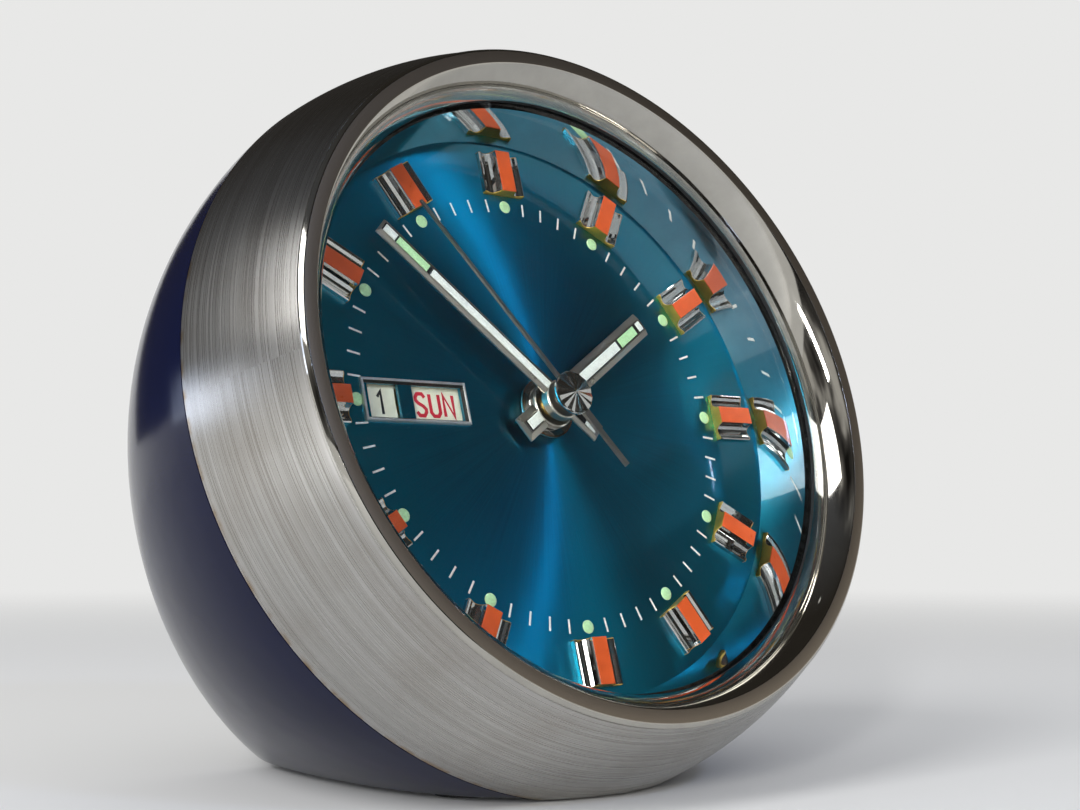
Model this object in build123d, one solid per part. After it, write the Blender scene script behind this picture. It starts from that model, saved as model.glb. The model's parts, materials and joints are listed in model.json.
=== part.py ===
"""Wind-up desk alarm clock with day and date calendar, in a tilted ball-shaped case.

Everything is drawn in the dial frame: origin at the dial's centre on its front face, +X to 3 o'clock,
+Y to 12 o'clock and +Z out of the dial.  place() then tilts the dial back and stands the clock on its feet,
with +Z up, the dial facing -Y and the origin at the middle of the footprint box.  Millimetres and degrees.
"""

import os
from math import atan2, cos, degrees, hypot, radians, sin, sqrt

from build123d import *

# ---- stance and case -----------------------------------------------------------------------------
TILT = 17.1                 # the dial leans back by this
DIAL_HEIGHT = 55.2          # dial centre above the surface that the feet stand on
CRYSTAL_R = 47.0            # the front of the case is built outward from the crystal
FUNNEL_FLARE = 1.9          # the polished funnel opens past the crystal's edge by this
LIP_WIDTH = 2.2
LIP_STEP = 0.3              # the ring's front edge stands this far outside the lip
RING_TAPER = 6.0            # the ring narrows by this from the seam to its front edge
RING_SAG = 2.1              # and by this at RING_MID_Z, on its convex outside
RING_MID_Z = 7.0
LIP_INNER_R = CRYSTAL_R + FUNNEL_FLARE
LIP_R = LIP_INNER_R + LIP_WIDTH
RING_FRONT_R = LIP_R + LIP_STEP
SEAM_R = RING_FRONT_R + RING_TAPER      # largest radius of the ball, where the ring meets the rear shell
SEAM_Z = -3.4
LIP_Z = 17.5                # front face of the polished lip
RING_WALL = 1.3
SEAM_GAP = 0.25             # shadow line between ring and shell
SHELL_DEPTH = 66.0          # half axis of the shell's oval, measured back from the seam
SHELL_END = 0.80            # the shell stops at this share of its depth, in a flat rear rim
SHELL_DROP = 29.2           # how far the oval's axis would sink at its full depth
SHELL_DROP_POWER = 3.5
SHELL_WALL = 2.2
BASE_WALL = 2.6
BASE_FILLET = 3.0
SPIGOT_DEPTH = 3.2          # the shell's rim reaches this far into the ring
SPIGOT_WALL = 1.6
LEDGE_DEPTH = 4.0
SPIGOT_FIT = 0.6            # the ring narrows forward, so the spigot starts this far inside it
LEDGE_WIDTH = 5.9           # the shell's front ledge reaches this far in from the seam
FOOT_R = 4.5
FOOT_HEIGHT = 1.8
FOOT_PROUD = 0.8
FOOT_SPREAD = (14.0, 17.0)  # half spacing of the four feet, across and along
BASE_CENTRE_Y = 17.0        # middle of the feet, behind the dial's centre

# ---- crystal, bezel and dial ---------------------------------------------------------------------
CRYSTAL_THICK = 2.0
CRYSTAL_Z = 9.2             # its rear face
BEZEL_WALL = 0.9
BEZEL_FIT = 0.1
CRYSTAL_HOLD = 1.3          # the funnel's foot and the gasket cover this much of the crystal's edge
FUNNEL_CURVE = (0.9, 2.6)   # the funnel's middle point: outward from its foot, and above it
GASKET_THICK = 0.6
REFLECTOR_HOLD = 1.8        # the crystal rests on this much of the mirror ring's rim
REFLECTOR_DRAFT = 1.1       # the mirror ring narrows by this down to the dial
DIAL_HOLD = 1.4             # the mirror ring covers this much of the dial's edge
DIAL_SEAT = 6.5             # and this much of it lies on the support ring
DIAL_THICK = 0.6
DIAL_HOLE_R = 3.3
MARKER_GAP = 1.9            # hour markers stop this short of the mirror ring
MARKER_LENGTH = 6.9
MARKER_WIDTH = 7.6
MARKER_HEIGHT = 1.9
MARKER_WALL = 0.45
WINDOW_CENTRE_X = -23.6
WINDOW_SIZE = (18.0, 6.4)
WINDOW_BORDER = 0.7
WINDOW_HEIGHT = 0.6
DATE_APERTURE = (-31.4, -26.2)   # from and to, across
DAY_APERTURE = (-23.9, -15.3)
FUNNEL_FOOT_R = CRYSTAL_R - CRYSTAL_HOLD
REFLECTOR_TOP_R = CRYSTAL_R - REFLECTOR_HOLD
REFLECTOR_R = REFLECTOR_TOP_R - REFLECTOR_DRAFT     # inner radius of the mirror ring at the dial
DIAL_R = REFLECTOR_R + DIAL_HOLD
SUPPORT_INNER_R = DIAL_R - DIAL_SEAT
MARKER_OUT = REFLECTOR_R - MARKER_GAP
MARKER_IN = MARKER_OUT - MARKER_LENGTH

# ---- calendar ------------------------------------------------------------------------------------
DATE_RING_R = 32.0
DATE_RING_INNER_R = 26.4
DATE_TOOTH = 0.9
DATE_COUNT = 31
DAY_DISC_R = 24.8
DAY_COUNT = 7
DATE_RING_THICK = 0.8
DAY_DISC_THICK = 0.4
DISC_GAP = 0.3              # between the dial's back and the discs
DRIVER_FINGER = 3.6
DAY_STAR_R = 17.7
CALENDAR_R = 34.0
CALENDAR_THICK = 0.8
CALENDAR_HUB_R = 5.2

# ---- hands ---------------------------------------------------------------------------------------
HOUR_ANGLE = 56.1           # clockwise from 12 at rest
MINUTE_ANGLE = 312.6
SECOND_ANGLE = 323.4
ALARM_ANGLE = 56.1
HOUR_HAND = (26.5, 7.5, 4.0, 0.9)       # tip, tail, width, thickness
MINUTE_HAND = (MARKER_IN + 1.9, 7.9, 2.6, 0.8)
ALARM_HAND = (19.0, 0.0, 1.8, 0.45)
HOUR_HAND_Z = 1.35
MINUTE_HAND_Z = 3.8
SECOND_HAND_Z = 6.4
ALARM_HAND_Z = 0.3
HOUR_BOSS_R = 3.6
MINUTE_BOSS_R = 3.05
ALARM_BOSS_R = 4.7
SECOND_TIP = MARKER_IN + 0.5
SECOND_TAIL = 13.5
SECOND_TAIL_STEP = 6.8
SECOND_THICK = 0.35
CAP_R = 3.4
CAP_HEIGHT = 1.0

# ---- movement ------------------------------------------------------------------------------------
RUN = 0.05                  # radial clearance of a running fit
PLATE_THICK = 1.0
WHEEL_THICK = 0.7           # of the motion and alarm wheels
FRONT_PLATE_R = 38.0
REAR_PLATE_R = 33.0
DIAL_FOOT_R = 0.8
DIAL_FOOT_RING = CALENDAR_R + 2.0
SECOND_ARBOR_R = 0.5
CENTRE_ARBOR_R = 1.0
CANNON_R = 1.6
HOUR_PIPE_R = 2.3
ALARM_PIPE_R = 3.0
ARBOR_R = 0.6
PIVOT_R = 0.35
PILLAR_R = 2.0
SCREW_R = 1.0
SCREW_HEAD_R = 2.0
SCREW_HEAD = 1.1
PILLARS = ((21.5, 21.5), (-23.0, 21.0), (-24.0, -19.0), (23.0, -19.0))
POSTS = ((20.5, 11.0), (-24.5, -6.0), (13.5, -23.5))
TIME_AT = (18.0, 0.0)       # time spring, great wheel and key
ALARM_AT = (-18.5, 6.0)     # alarm spring, great wheel and key

# teeth and modules; each pair of meshing gears shares a module
MODULE_MOTION = 0.375
MODULE_HOUR = 0.36
MODULE_GREAT = 0.5
MODULE_CENTRE = 0.34
MODULE_THIRD = 0.36
MODULE_FOURTH = 0.34
CANNON_TEETH, MINUTE_WHEEL_TEETH, SET_PINION_TEETH = 12, 36, 12
MINUTE_PINION_TEETH, HOUR_WHEEL_TEETH = 10, 40
ALARM_WHEEL_TEETH, ALARM_SET_TEETH = 60, 12
DRIVER_TEETH = 80
GREAT_TEETH, CENTRE_PINION_TEETH = 60, 12
CENTRE_TEETH, THIRD_PINION_TEETH = 64, 8
THIRD_TEETH, FOURTH_PINION_TEETH = 60, 8
FOURTH_TEETH, ESCAPE_PINION_TEETH = 64, 8
ALARM_GREAT_TEETH, HAMMER_PINION_TEETH = 48, 8
ESCAPE_TEETH = 15
RATCHET_TEETH = 18

# directions of the arbors from the one that drives them
MINUTE_WHEEL_DIR = -60.0
DRIVER_DIR = 100.0
ALARM_SET_DIR = 210.0
THIRD_DIR = 115.0
ESCAPE_DIR = 270.0
HAMMER_WHEEL_DIR = 75.0
LEVER_REACH = 6.6           # escape wheel to lever, and lever to balance
BALANCE_REACH = 8.4
HAMMER_REACH = 7.5
HAMMER_DIR = 60.0

ESCAPE_R = 4.6
BALANCE_R = 7.5
HAIRSPRING_R = 4.2
HAMMER_WHEEL_R = 4.9
BELL_AT = (5.0, 18.0)
BELL_R = 11.0
BELL_DEPTH = 6.5
BELL_WALL = 0.8
HAMMER_HEAD_R = 1.8

# ---- back cover and controls ---------------------------------------------------------------------
WELL_CENTRE_Y = -3.0
WELL_R = 31.0
WELL_WALL = 2.0
COVER_THICK = 1.0
COVER_FIT = 0.15
COVER_LEDGE = 3.0
KEY_ARBOR_R = 1.6
KEY_SPAN = 15.0
KEY_HEIGHT = 8.0
KEY_THICK = 1.6
KNOB_R = 4.4
KNOB_HEIGHT = 5.0
KNOB_GRIPS = 18
STOP_AT = (-11.5, 20.0)
STOP_TRAVEL = 2.5
STOP_R = 1.2
STOP_HEAD_R = 2.8
REGULATOR_R = 6.5
REGULATOR_SWING = 20.0
SET_ARBOR_R = 1.0
KNOB_GAP = 0.8              # knobs and keys stand off the cover by this

DIAL_TO_ROW = Plane(origin=(0, 0, DIAL_HEIGHT), x_dir=(1, 0, 0),
                    z_dir=(0, -cos(radians(TILT)), sin(radians(TILT)))).location


# ---- small helpers -------------------------------------------------------------------------------
def polar(radius, angle, centre=(0.0, 0.0)):
    """A point at this distance and anticlockwise angle from centre."""
    return (centre[0] + radius * cos(radians(angle)), centre[1] + radius * sin(radians(angle)))


ON_FLOOR = (Align.CENTER, Align.CENTER, Align.MIN)


def rod(radius, z0, z1, at=(0.0, 0.0)):
    low, high = min(z0, z1), max(z0, z1)
    return Pos(at[0], at[1], low) * Cylinder(radius, high - low, align=ON_FLOOR)


def tube(outer, inner, z0, z1, at=(0.0, 0.0)):
    return rod(outer, z0, z1, at) - rod(inner, z0, z1, at)


def block(width, length, z0, z1, at=(0.0, 0.0), turn=0.0):
    low, high = min(z0, z1), max(z0, z1)
    return Pos(at[0], at[1], low) * Rot(0, 0, turn) * Box(width, length, high - low, align=ON_FLOOR)


def turned(*outline):
    """A ring or disc turned about the dial's axis, from its outline as (radius, height) points."""
    return revolve(Plane.XZ * make_face(Polyline(*outline, close=True)), Axis.Z)


def prism(points, z0, z1):
    low, high = min(z0, z1), max(z0, z1)
    return Pos(0, 0, low) * extrude(make_face(Polyline(*points, close=True)), high - low)


def group(pieces):
    return Compound([solid for piece in pieces for solid in piece.solids()])


# ---- gears ---------------------------------------------------------------------------------------
ADDENDUM = 0.80
DEDENDUM = 1.15
TOOTH_AT_PITCH = 0.40       # shares of the tooth pitch
TOOTH_AT_TIP = 0.20
TOOTH_AT_ROOT = 0.46


def pitch_r(teeth, module):
    return teeth * module / 2


def gear_outline(teeth, module, phase):
    """Corner points of a spur gear: root, flank, pitch, tip on each side of every tooth."""
    r = pitch_r(teeth, module)
    step = 360 / teeth
    points = []
    for i in range(teeth):
        middle = phase + i * step
        for radius, share in ((r - DEDENDUM * module, -TOOTH_AT_ROOT), (r, -TOOTH_AT_PITCH),
                              (r + ADDENDUM * module, -TOOTH_AT_TIP), (r + ADDENDUM * module, TOOTH_AT_TIP),
                              (r, TOOTH_AT_PITCH), (r - DEDENDUM * module, TOOTH_AT_ROOT)):
            points.append(polar(radius, middle + share * step / 2))
    return points


def gear(teeth, module, z0, z1, at=(0.0, 0.0), phase=0.0, bore=0.0, spokes=0):
    body = Pos(at[0], at[1], 0) * prism(gear_outline(teeth, module, phase), z0, z1)
    if spokes:
        body -= spoke_windows(pitch_r(teeth, module) - 2.6 * module, spokes, z0, z1, at)
    if bore:
        body -= rod(bore, z0, z1, at)
    return body


SPOKE_WIDTH = 1.4
SPOKE_HUB = 2.6


def spoke_windows(rim_r, count, z0, z1, at, hub_r=SPOKE_HUB, width=SPOKE_WIDTH):
    """The openings between the arms of a crossed-out wheel."""
    windows = tube(rim_r, hub_r, z0, z1, at)
    for i in range(count):
        arm_at = polar(rim_r / 2, i * 360 / count, at)
        windows -= block(rim_r + 1, width, z0, z1, arm_at, i * 360 / count)
    return windows


def meshing_phase(teeth_a, phase_a, teeth_b, direction):
    """Phase of gear b so that its gap meets gear a's tooth; direction is from a to b."""
    share = (direction - phase_a) * teeth_a / 360
    return direction + 180 - (0.5 - share) * 360 / teeth_b


def mesh_distance(teeth_a, teeth_b, module):
    return pitch_r(teeth_a + teeth_b, module)


# where the arbors stand
MINUTE_WHEEL_AT = polar(mesh_distance(CANNON_TEETH, MINUTE_WHEEL_TEETH, MODULE_MOTION), MINUTE_WHEEL_DIR)
SET_AT = polar(mesh_distance(MINUTE_WHEEL_TEETH, SET_PINION_TEETH, MODULE_MOTION), MINUTE_WHEEL_DIR,
               MINUTE_WHEEL_AT)
ALARM_SET_AT = polar(mesh_distance(ALARM_WHEEL_TEETH, ALARM_SET_TEETH, MODULE_HOUR), ALARM_SET_DIR)
THIRD_AT = polar(mesh_distance(CENTRE_TEETH, THIRD_PINION_TEETH, MODULE_CENTRE), THIRD_DIR)
ESCAPE_AT = polar(mesh_distance(FOURTH_TEETH, ESCAPE_PINION_TEETH, MODULE_FOURTH), ESCAPE_DIR)
LEVER_AT = polar(LEVER_REACH, ESCAPE_DIR, ESCAPE_AT)
BALANCE_AT = polar(BALANCE_REACH, ESCAPE_DIR, LEVER_AT)
HAMMER_WHEEL_AT = polar(mesh_distance(ALARM_GREAT_TEETH, HAMMER_PINION_TEETH, MODULE_GREAT), HAMMER_WHEEL_DIR,
                        ALARM_AT)
HAMMER_AT = polar(HAMMER_REACH, HAMMER_DIR, HAMMER_WHEEL_AT)
DRIVER_AT = polar(mesh_distance(HOUR_WHEEL_TEETH, DRIVER_TEETH, MODULE_HOUR), DRIVER_DIR)

# each gear is turned so that its gaps take its neighbour's teeth
MINUTE_WHEEL_PHASE = meshing_phase(CANNON_TEETH, 0, MINUTE_WHEEL_TEETH, MINUTE_WHEEL_DIR)
SET_PHASE = meshing_phase(MINUTE_WHEEL_TEETH, MINUTE_WHEEL_PHASE, SET_PINION_TEETH, MINUTE_WHEEL_DIR)
HOUR_WHEEL_PHASE = meshing_phase(MINUTE_PINION_TEETH, 0, HOUR_WHEEL_TEETH, MINUTE_WHEEL_DIR + 180)
DRIVER_PHASE = meshing_phase(HOUR_WHEEL_TEETH, HOUR_WHEEL_PHASE, DRIVER_TEETH, DRIVER_DIR)
ALARM_SET_PHASE = meshing_phase(ALARM_WHEEL_TEETH, 0, ALARM_SET_TEETH, ALARM_SET_DIR)
CENTRE_PINION_PHASE = meshing_phase(GREAT_TEETH, 0, CENTRE_PINION_TEETH, 180)
THIRD_PINION_PHASE = meshing_phase(CENTRE_TEETH, 0, THIRD_PINION_TEETH, THIRD_DIR)
FOURTH_PINION_PHASE = meshing_phase(THIRD_TEETH, 0, FOURTH_PINION_TEETH, THIRD_DIR + 180)
ESCAPE_PINION_PHASE = meshing_phase(FOURTH_TEETH, 0, ESCAPE_PINION_TEETH, ESCAPE_DIR)
HAMMER_PINION_PHASE = meshing_phase(ALARM_GREAT_TEETH, 0, HAMMER_PINION_TEETH, HAMMER_WHEEL_DIR)

# levels, counted out of the dial
DISC_TOP = -DIAL_THICK - DISC_GAP
DISC_BOTTOM = DISC_TOP - DATE_RING_THICK
CALENDAR_TOP = DISC_BOTTOM - RUN
CALENDAR_BOTTOM = CALENDAR_TOP - CALENDAR_THICK
ALARM_WHEEL_TOP = CALENDAR_BOTTOM - 0.55
ALARM_WHEEL_Z = (ALARM_WHEEL_TOP - WHEEL_THICK, ALARM_WHEEL_TOP)
ALARM_SET_PINION_Z = (ALARM_WHEEL_Z[0] - 0.2, ALARM_WHEEL_Z[1] + 0.15)
HOUR_WHEEL_Z = (ALARM_WHEEL_Z[0] - 0.4 - WHEEL_THICK, ALARM_WHEEL_Z[0] - 0.4)
MINUTE_PINION_Z = (HOUR_WHEEL_Z[0] - 1.1, HOUR_WHEEL_Z[1] + 0.15)
MINUTE_WHEEL_Z = (MINUTE_PINION_Z[0] - WHEEL_THICK, MINUTE_PINION_Z[0])
CANNON_TEETH_Z = (MINUTE_WHEEL_Z[0] - 0.5, MINUTE_WHEEL_Z[1] + 0.5)
SET_PINION_Z = (MINUTE_WHEEL_Z[0] - 0.3, MINUTE_WHEEL_Z[1] + 0.3)
FRONT_FACE_Z = CANNON_TEETH_Z[0] - 0.3
FRONT_PLATE_Z = FRONT_FACE_Z - PLATE_THICK      # rear face of the front plate


def behind_plate(far, near):
    """The two levels this far behind the front plate."""
    return (FRONT_PLATE_Z - far, FRONT_PLATE_Z - near)


CENTRE_WHEEL_Z = behind_plate(2.5, 1.5)
THIRD_PINION_Z = behind_plate(3.0, 1.0)
CENTRE_PINION_Z = behind_plate(7.5, 5.1)
GREAT_WHEEL_Z = behind_plate(7.0, 5.5)
BRIDGE_Z = behind_plate(9.5, 8.5)
THIRD_WHEEL_Z = behind_plate(12.3, 11.5)
FOURTH_PINION_Z = behind_plate(12.9, 10.9)
ESCAPE_WHEEL_Z = behind_plate(14.0, 13.4)
FOURTH_WHEEL_Z = behind_plate(15.6, 14.9)
ESCAPE_PINION_Z = behind_plate(16.5, 14.4)
LEVER_Z = behind_plate(14.9, 14.3)
BALANCE_Z = behind_plate(7.7, 6.5)
HAIRSPRING_Z = behind_plate(16.7, 16.1)
TIME_SPRING_Z = behind_plate(13.8, 7.8)
ALARM_SPRING_Z = behind_plate(4.8, 0.8)
TIME_RATCHET_Z = behind_plate(5.1, 3.9)
ALARM_RATCHET_Z = behind_plate(8.6, 7.4)
HAMMER_PINION_Z = behind_plate(7.7, 5.3)
HAMMER_WHEEL_Z = behind_plate(10.3, 9.5)
BALANCE_ENDS = behind_plate(17.8, 1.7)
BALANCE_CUPS = behind_plate(17.4, 2.1)
ROLLER_Z = behind_plate(12.7, 12.1)
ANCHOR_Z = behind_plate(9.1, 8.5)
REAR_PLATE_Z = ESCAPE_PINION_Z[0] - 1.5         # front face of the rear plate
REAR_FACE_Z = REAR_PLATE_Z - PLATE_THICK
BELL_Z = REAR_FACE_Z - 2.5                      # the bell's closed end
HAMMER_ARM_Z = (REAR_FACE_Z - 7.1, REAR_FACE_Z - 5.9)
COVER_Z = REAR_FACE_Z - 13.7 - COVER_THICK      # rear face of the back cover
KEY_END_Z = COVER_Z - 8.8


# ---- case ----------------------------------------------------------------------------------------
REFLECTOR_OUTER_R = CRYSTAL_R - 0.2
REFLECTOR_FLANGE_R = CRYSTAL_R + 3.0
FLANGE_THICK = 1.0
SHELL_FRONT_Z = SEAM_Z - SEAM_GAP
SHELL_REAR_Z = SHELL_FRONT_Z - SHELL_DEPTH * SHELL_END
SPIGOT_R = SEAM_R - RING_WALL - SPIGOT_FIT
SUPPORT_R = SPIGOT_R - SPIGOT_WALL - 0.3
SHELL_SHARES = (0.0, 0.16, 0.32, 0.46, 0.58, 0.68, 0.75, SHELL_END)
WELL_AT = (0.0, WELL_CENTRE_Y)


def ball_profile(offset):
    """The steel ring's convex outside or inside, from the seam to the front, as an edge."""
    return ThreePointArc((SEAM_R - offset, SEAM_Z), (SEAM_R - RING_SAG - offset, RING_MID_Z),
                         (RING_FRONT_R - offset, LIP_Z - BEZEL_WALL))


def above_floor(height, size=400.0):
    """Everything higher than this above the surface that the feet stand on, as a block in the dial frame."""
    half = Pos(0, 0, height) * Box(size, size, size, align=ON_FLOOR)
    return DIAL_TO_ROW.inverse() * half


def front_ring():
    outer, inner = ball_profile(0), ball_profile(RING_WALL)
    section = make_face(Curve() + [outer, inner, Line(outer @ 0, inner @ 0), Line(outer @ 1, inner @ 1)])
    return revolve(Plane.XZ * section, Axis.Z) & above_floor(FOOT_PROUD * 0.5)


def front_bezel():
    skirt_r = CRYSTAL_R + BEZEL_FIT
    skirt_outer = RING_FRONT_R - RING_WALL - BEZEL_FIT
    seat = CRYSTAL_Z + CRYSTAL_THICK + GASKET_THICK
    middle = (FUNNEL_FOOT_R + FUNNEL_CURVE[0], seat + FUNNEL_CURVE[1] + 0.2)
    funnel = ThreePointArc((LIP_INNER_R, LIP_Z), middle, (FUNNEL_FOOT_R, seat + 0.1))
    skirt = ((FUNNEL_FOOT_R, seat + 0.1), (FUNNEL_FOOT_R, seat), (skirt_r, seat), (skirt_r, CRYSTAL_Z - 0.4),
             (skirt_r + BEZEL_WALL, CRYSTAL_Z - 0.4), (skirt_r + BEZEL_WALL, seat + 1.0))
    lip = ((skirt_outer, LIP_Z - 2.2), (skirt_outer, LIP_Z - BEZEL_WALL), (LIP_R, LIP_Z - BEZEL_WALL),
           (LIP_R, LIP_Z - 0.35), (LIP_R - 0.35, LIP_Z), (LIP_INNER_R, LIP_Z))
    rest = Polyline(*skirt, *lip)
    return revolve(Plane.XZ * make_face(Curve() + [funnel, rest]), Axis.Z)


def crystal():
    return rod(CRYSTAL_R, CRYSTAL_Z, CRYSTAL_Z + CRYSTAL_THICK)


def crystal_gasket():
    top = CRYSTAL_Z + CRYSTAL_THICK
    return tube(CRYSTAL_R, FUNNEL_FOOT_R, top, top + GASKET_THICK)


def reflector_ring():
    wall = ((REFLECTOR_R, 0), (REFLECTOR_TOP_R, CRYSTAL_Z), (REFLECTOR_OUTER_R, CRYSTAL_Z))
    flange = ((REFLECTOR_OUTER_R, FLANGE_THICK), (REFLECTOR_FLANGE_R, FLANGE_THICK), (REFLECTOR_FLANGE_R, 0))
    return turned(*wall, *flange)


def dial_support_ring():
    body = tube(SUPPORT_R, SUPPORT_INNER_R, SHELL_FRONT_Z, -DIAL_THICK)
    return body + tube(SUPPORT_R, DIAL_R + 0.1, -DIAL_THICK, 0)


def shell_section(share, wall):
    """The shell's round section at this share of its depth."""
    radius = SEAM_R * sqrt(1 - share ** 2) - wall
    drop = SHELL_DROP * share ** SHELL_DROP_POWER
    return Pos(0, -drop, SHELL_FRONT_Z - SHELL_DEPTH * share) * Circle(radius)


def foot_places():
    return [(sx * FOOT_SPREAD[0], BASE_CENTRE_Y + sy * FOOT_SPREAD[1]) for sx in (-1, 1) for sy in (-1, 1)]


def rear_shell():
    outer = loft([shell_section(s, 0) for s in SHELL_SHARES]) & above_floor(FOOT_PROUD)
    base = [f for f in outer.faces() if f.geom_type == GeomType.PLANE and abs(f.normal_at().Z) < 0.9][0]
    rounded = [e for e in base.edges() if e.center().Z < SHELL_FRONT_Z - 1]
    outer = fillet(rounded, BASE_FILLET)
    cavity = loft([shell_section(s, SHELL_WALL) for s in SHELL_SHARES]) & above_floor(FOOT_PROUD + BASE_WALL)
    cavity -= rod(SEAM_R * 2, SHELL_REAR_Z + SHELL_WALL, SHELL_REAR_Z - 20)
    cavity -= tube(SEAM_R + 2, SEAM_R - LEDGE_WIDTH, SHELL_FRONT_Z - LEDGE_DEPTH, SHELL_FRONT_Z)
    ledge_front = COVER_Z + COVER_THICK + 1.8
    cavity -= tube(WELL_R + WELL_WALL, WELL_R - COVER_LEDGE, SHELL_REAR_Z - 5, ledge_front, WELL_AT)
    shell = outer - cavity
    spigot = tube(SPIGOT_R, SPIGOT_R - SPIGOT_WALL, SHELL_FRONT_Z - 1, SHELL_FRONT_Z + SPIGOT_DEPTH)
    shell += spigot & above_floor(FOOT_PROUD)
    shell -= rod(WELL_R, COVER_Z + COVER_THICK, SHELL_REAR_Z - 20, WELL_AT)
    for x, y in foot_places():
        shell -= DIAL_TO_ROW.inverse() * rod(FOOT_R, 0, FOOT_HEIGHT, (x, y))
    return shell


def base_feet():
    return DIAL_TO_ROW.inverse() * group(rod(FOOT_R - 0.1, 0, FOOT_HEIGHT, at) for at in foot_places())


SLOTS = (-1.0, 2.0, 5.0, 8.0, 11.0)     # sound slots over the bell
SLOT_SIZE = (1.4, 8.0)
CONTROL_GAP = 0.4


def regulator_slot():
    """Curved slot that the regulator's tip swings in."""
    reach = REGULATOR_SWING + 10
    inside = [polar(REGULATOR_R - 1, 90 + reach * (i / 6 - 1), BALANCE_AT) for i in range(13)]
    outside = [polar(REGULATOR_R + 1, 90 + reach * (i / 6 - 1), BALANCE_AT) for i in range(13)]
    return prism(inside + outside[::-1], COVER_Z, COVER_Z + COVER_THICK)


def back_cover():
    top = COVER_Z + COVER_THICK
    cover = rod(WELL_R - COVER_FIT, COVER_Z, top, WELL_AT)
    for at in POSTS:
        cover -= rod(SCREW_R + 0.1, COVER_Z, top, at)
    for at in (TIME_AT, ALARM_AT):
        cover -= rod(KEY_ARBOR_R + CONTROL_GAP, COVER_Z, top, at)
    for at in (SET_AT, ALARM_SET_AT):
        cover -= rod(SET_ARBOR_R + CONTROL_GAP, COVER_Z, top, at)
    cover -= rod(STOP_R + RUN, COVER_Z, top, STOP_AT)
    cover -= regulator_slot()
    for x in SLOTS:
        cover -= block(SLOT_SIZE[0], SLOT_SIZE[1], COVER_Z, top, (x, 17.0))
    return cover


def case_posts():
    top = COVER_Z + COVER_THICK
    return group(rod(PILLAR_R, top, REAR_FACE_Z, at) - rod(SCREW_R, top, top + 4, at) for at in POSTS)


def slotted_screw(at, seat, head_way, shank):
    """A cheese-head screw; its head stands on the seat and head_way is -1 when the head is behind it."""
    head = rod(SCREW_HEAD_R, seat, seat + head_way * SCREW_HEAD, at)
    slot_floor, slot_top = seat + head_way * SCREW_HEAD * 0.5, seat + head_way * (SCREW_HEAD + 1)
    slot = block(SCREW_HEAD_R * 2 + 1, 0.5, slot_floor, slot_top, at, 30)
    return (head - slot) + rod(SCREW_R, seat, seat - head_way * shank, at)


def back_cover_screws():
    return group(slotted_screw(at, COVER_Z, -1, COVER_THICK + 3.6) for at in POSTS)


# ---- dial ----------------------------------------------------------------------------------------
DIAL_FOOT_ANGLES = (45.0, 165.0, 285.0)
APERTURE_HALF = 2.55


def dial_plate():
    plate = rod(DIAL_R, -DIAL_THICK, 0) - rod(DIAL_HOLE_R, -DIAL_THICK, 0)
    for left, right in (DATE_APERTURE, DAY_APERTURE):
        plate -= block(right - left, APERTURE_HALF * 2, -DIAL_THICK, 0, ((left + right) / 2, 0))
    for angle in DIAL_FOOT_ANGLES:
        plate += rod(DIAL_FOOT_R, FRONT_FACE_Z, -DIAL_THICK, polar(DIAL_FOOT_RING, angle))
    return plate


RIDGE_HALF = 1.35
MARKER_EDGE = 0.85


def hour_marker(angle):
    half = MARKER_WIDTH / 2
    rim = [(half, 0), (half, MARKER_EDGE - 0.1), (half - MARKER_WALL, MARKER_EDGE)]
    right = rim + [(RIDGE_HALF + 0.8, 0.45), (RIDGE_HALF, MARKER_HEIGHT - 0.35), (RIDGE_HALF, MARKER_HEIGHT)]
    left = [(-x, z) for x, z in right[::-1]]
    section = make_face(Polyline(*right, *left, close=True))
    inner_end = Plane(origin=(0, MARKER_IN, 0), x_dir=(1, 0, 0), z_dir=(0, 1, 0))
    return Rot(0, 0, angle) * extrude(inner_end * mirror(section, Plane.XZ), MARKER_OUT - MARKER_IN)


def hour_markers():
    return group(hour_marker(i * 30) for i in range(12))


def window_frame():
    at = (WINDOW_CENTRE_X, 0)
    width, height = WINDOW_SIZE
    frame = block(width, height, 0, WINDOW_HEIGHT, at)
    return frame - block(width - 2 * WINDOW_BORDER, height - 2 * WINDOW_BORDER, 0, WINDOW_HEIGHT, at)


# ---- calendar ------------------------------------------------------------------------------------
CALENDAR_LEGS = (20.0, 200.0, 290.0)
CALENDAR_LEG_RING = 24.0
CALENDAR_LEG_R = 1.2
CALENDAR_HOLE_R = ALARM_PIPE_R + 0.3
DRIVER_HOLE_R = DRIVER_FINGER + 0.6
RIM_TOP = DISC_TOP + 0.1


def calendar_plate():
    plate = rod(CALENDAR_R, CALENDAR_BOTTOM, CALENDAR_TOP)
    plate += tube(CALENDAR_R, DATE_RING_R + RUN, CALENDAR_TOP, RIM_TOP)
    plate += rod(CALENDAR_HUB_R, CALENDAR_TOP, RIM_TOP)
    plate -= rod(CALENDAR_HOLE_R, CALENDAR_BOTTOM, RIM_TOP)
    plate -= rod(DRIVER_HOLE_R, CALENDAR_BOTTOM, CALENDAR_TOP, DRIVER_AT)
    for angle in CALENDAR_LEGS:
        plate += rod(CALENDAR_LEG_R, FRONT_FACE_Z, CALENDAR_BOTTOM, polar(CALENDAR_LEG_RING, angle))
    return plate


def wedge_teeth(count, root_r, tip_r, z0, z1, phase=0.0):
    """A disc or hole outline with one pointed tooth per step."""
    points = []
    for i in range(count):
        angle = phase + i * 360 / count
        points.append(polar(root_r, angle - 45 / count))
        points.append(polar(tip_r, angle))
        points.append(polar(root_r, angle + 45 / count))
        points.append(polar(root_r, angle + 180 / count))
    return prism(points, z0, z1)


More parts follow.
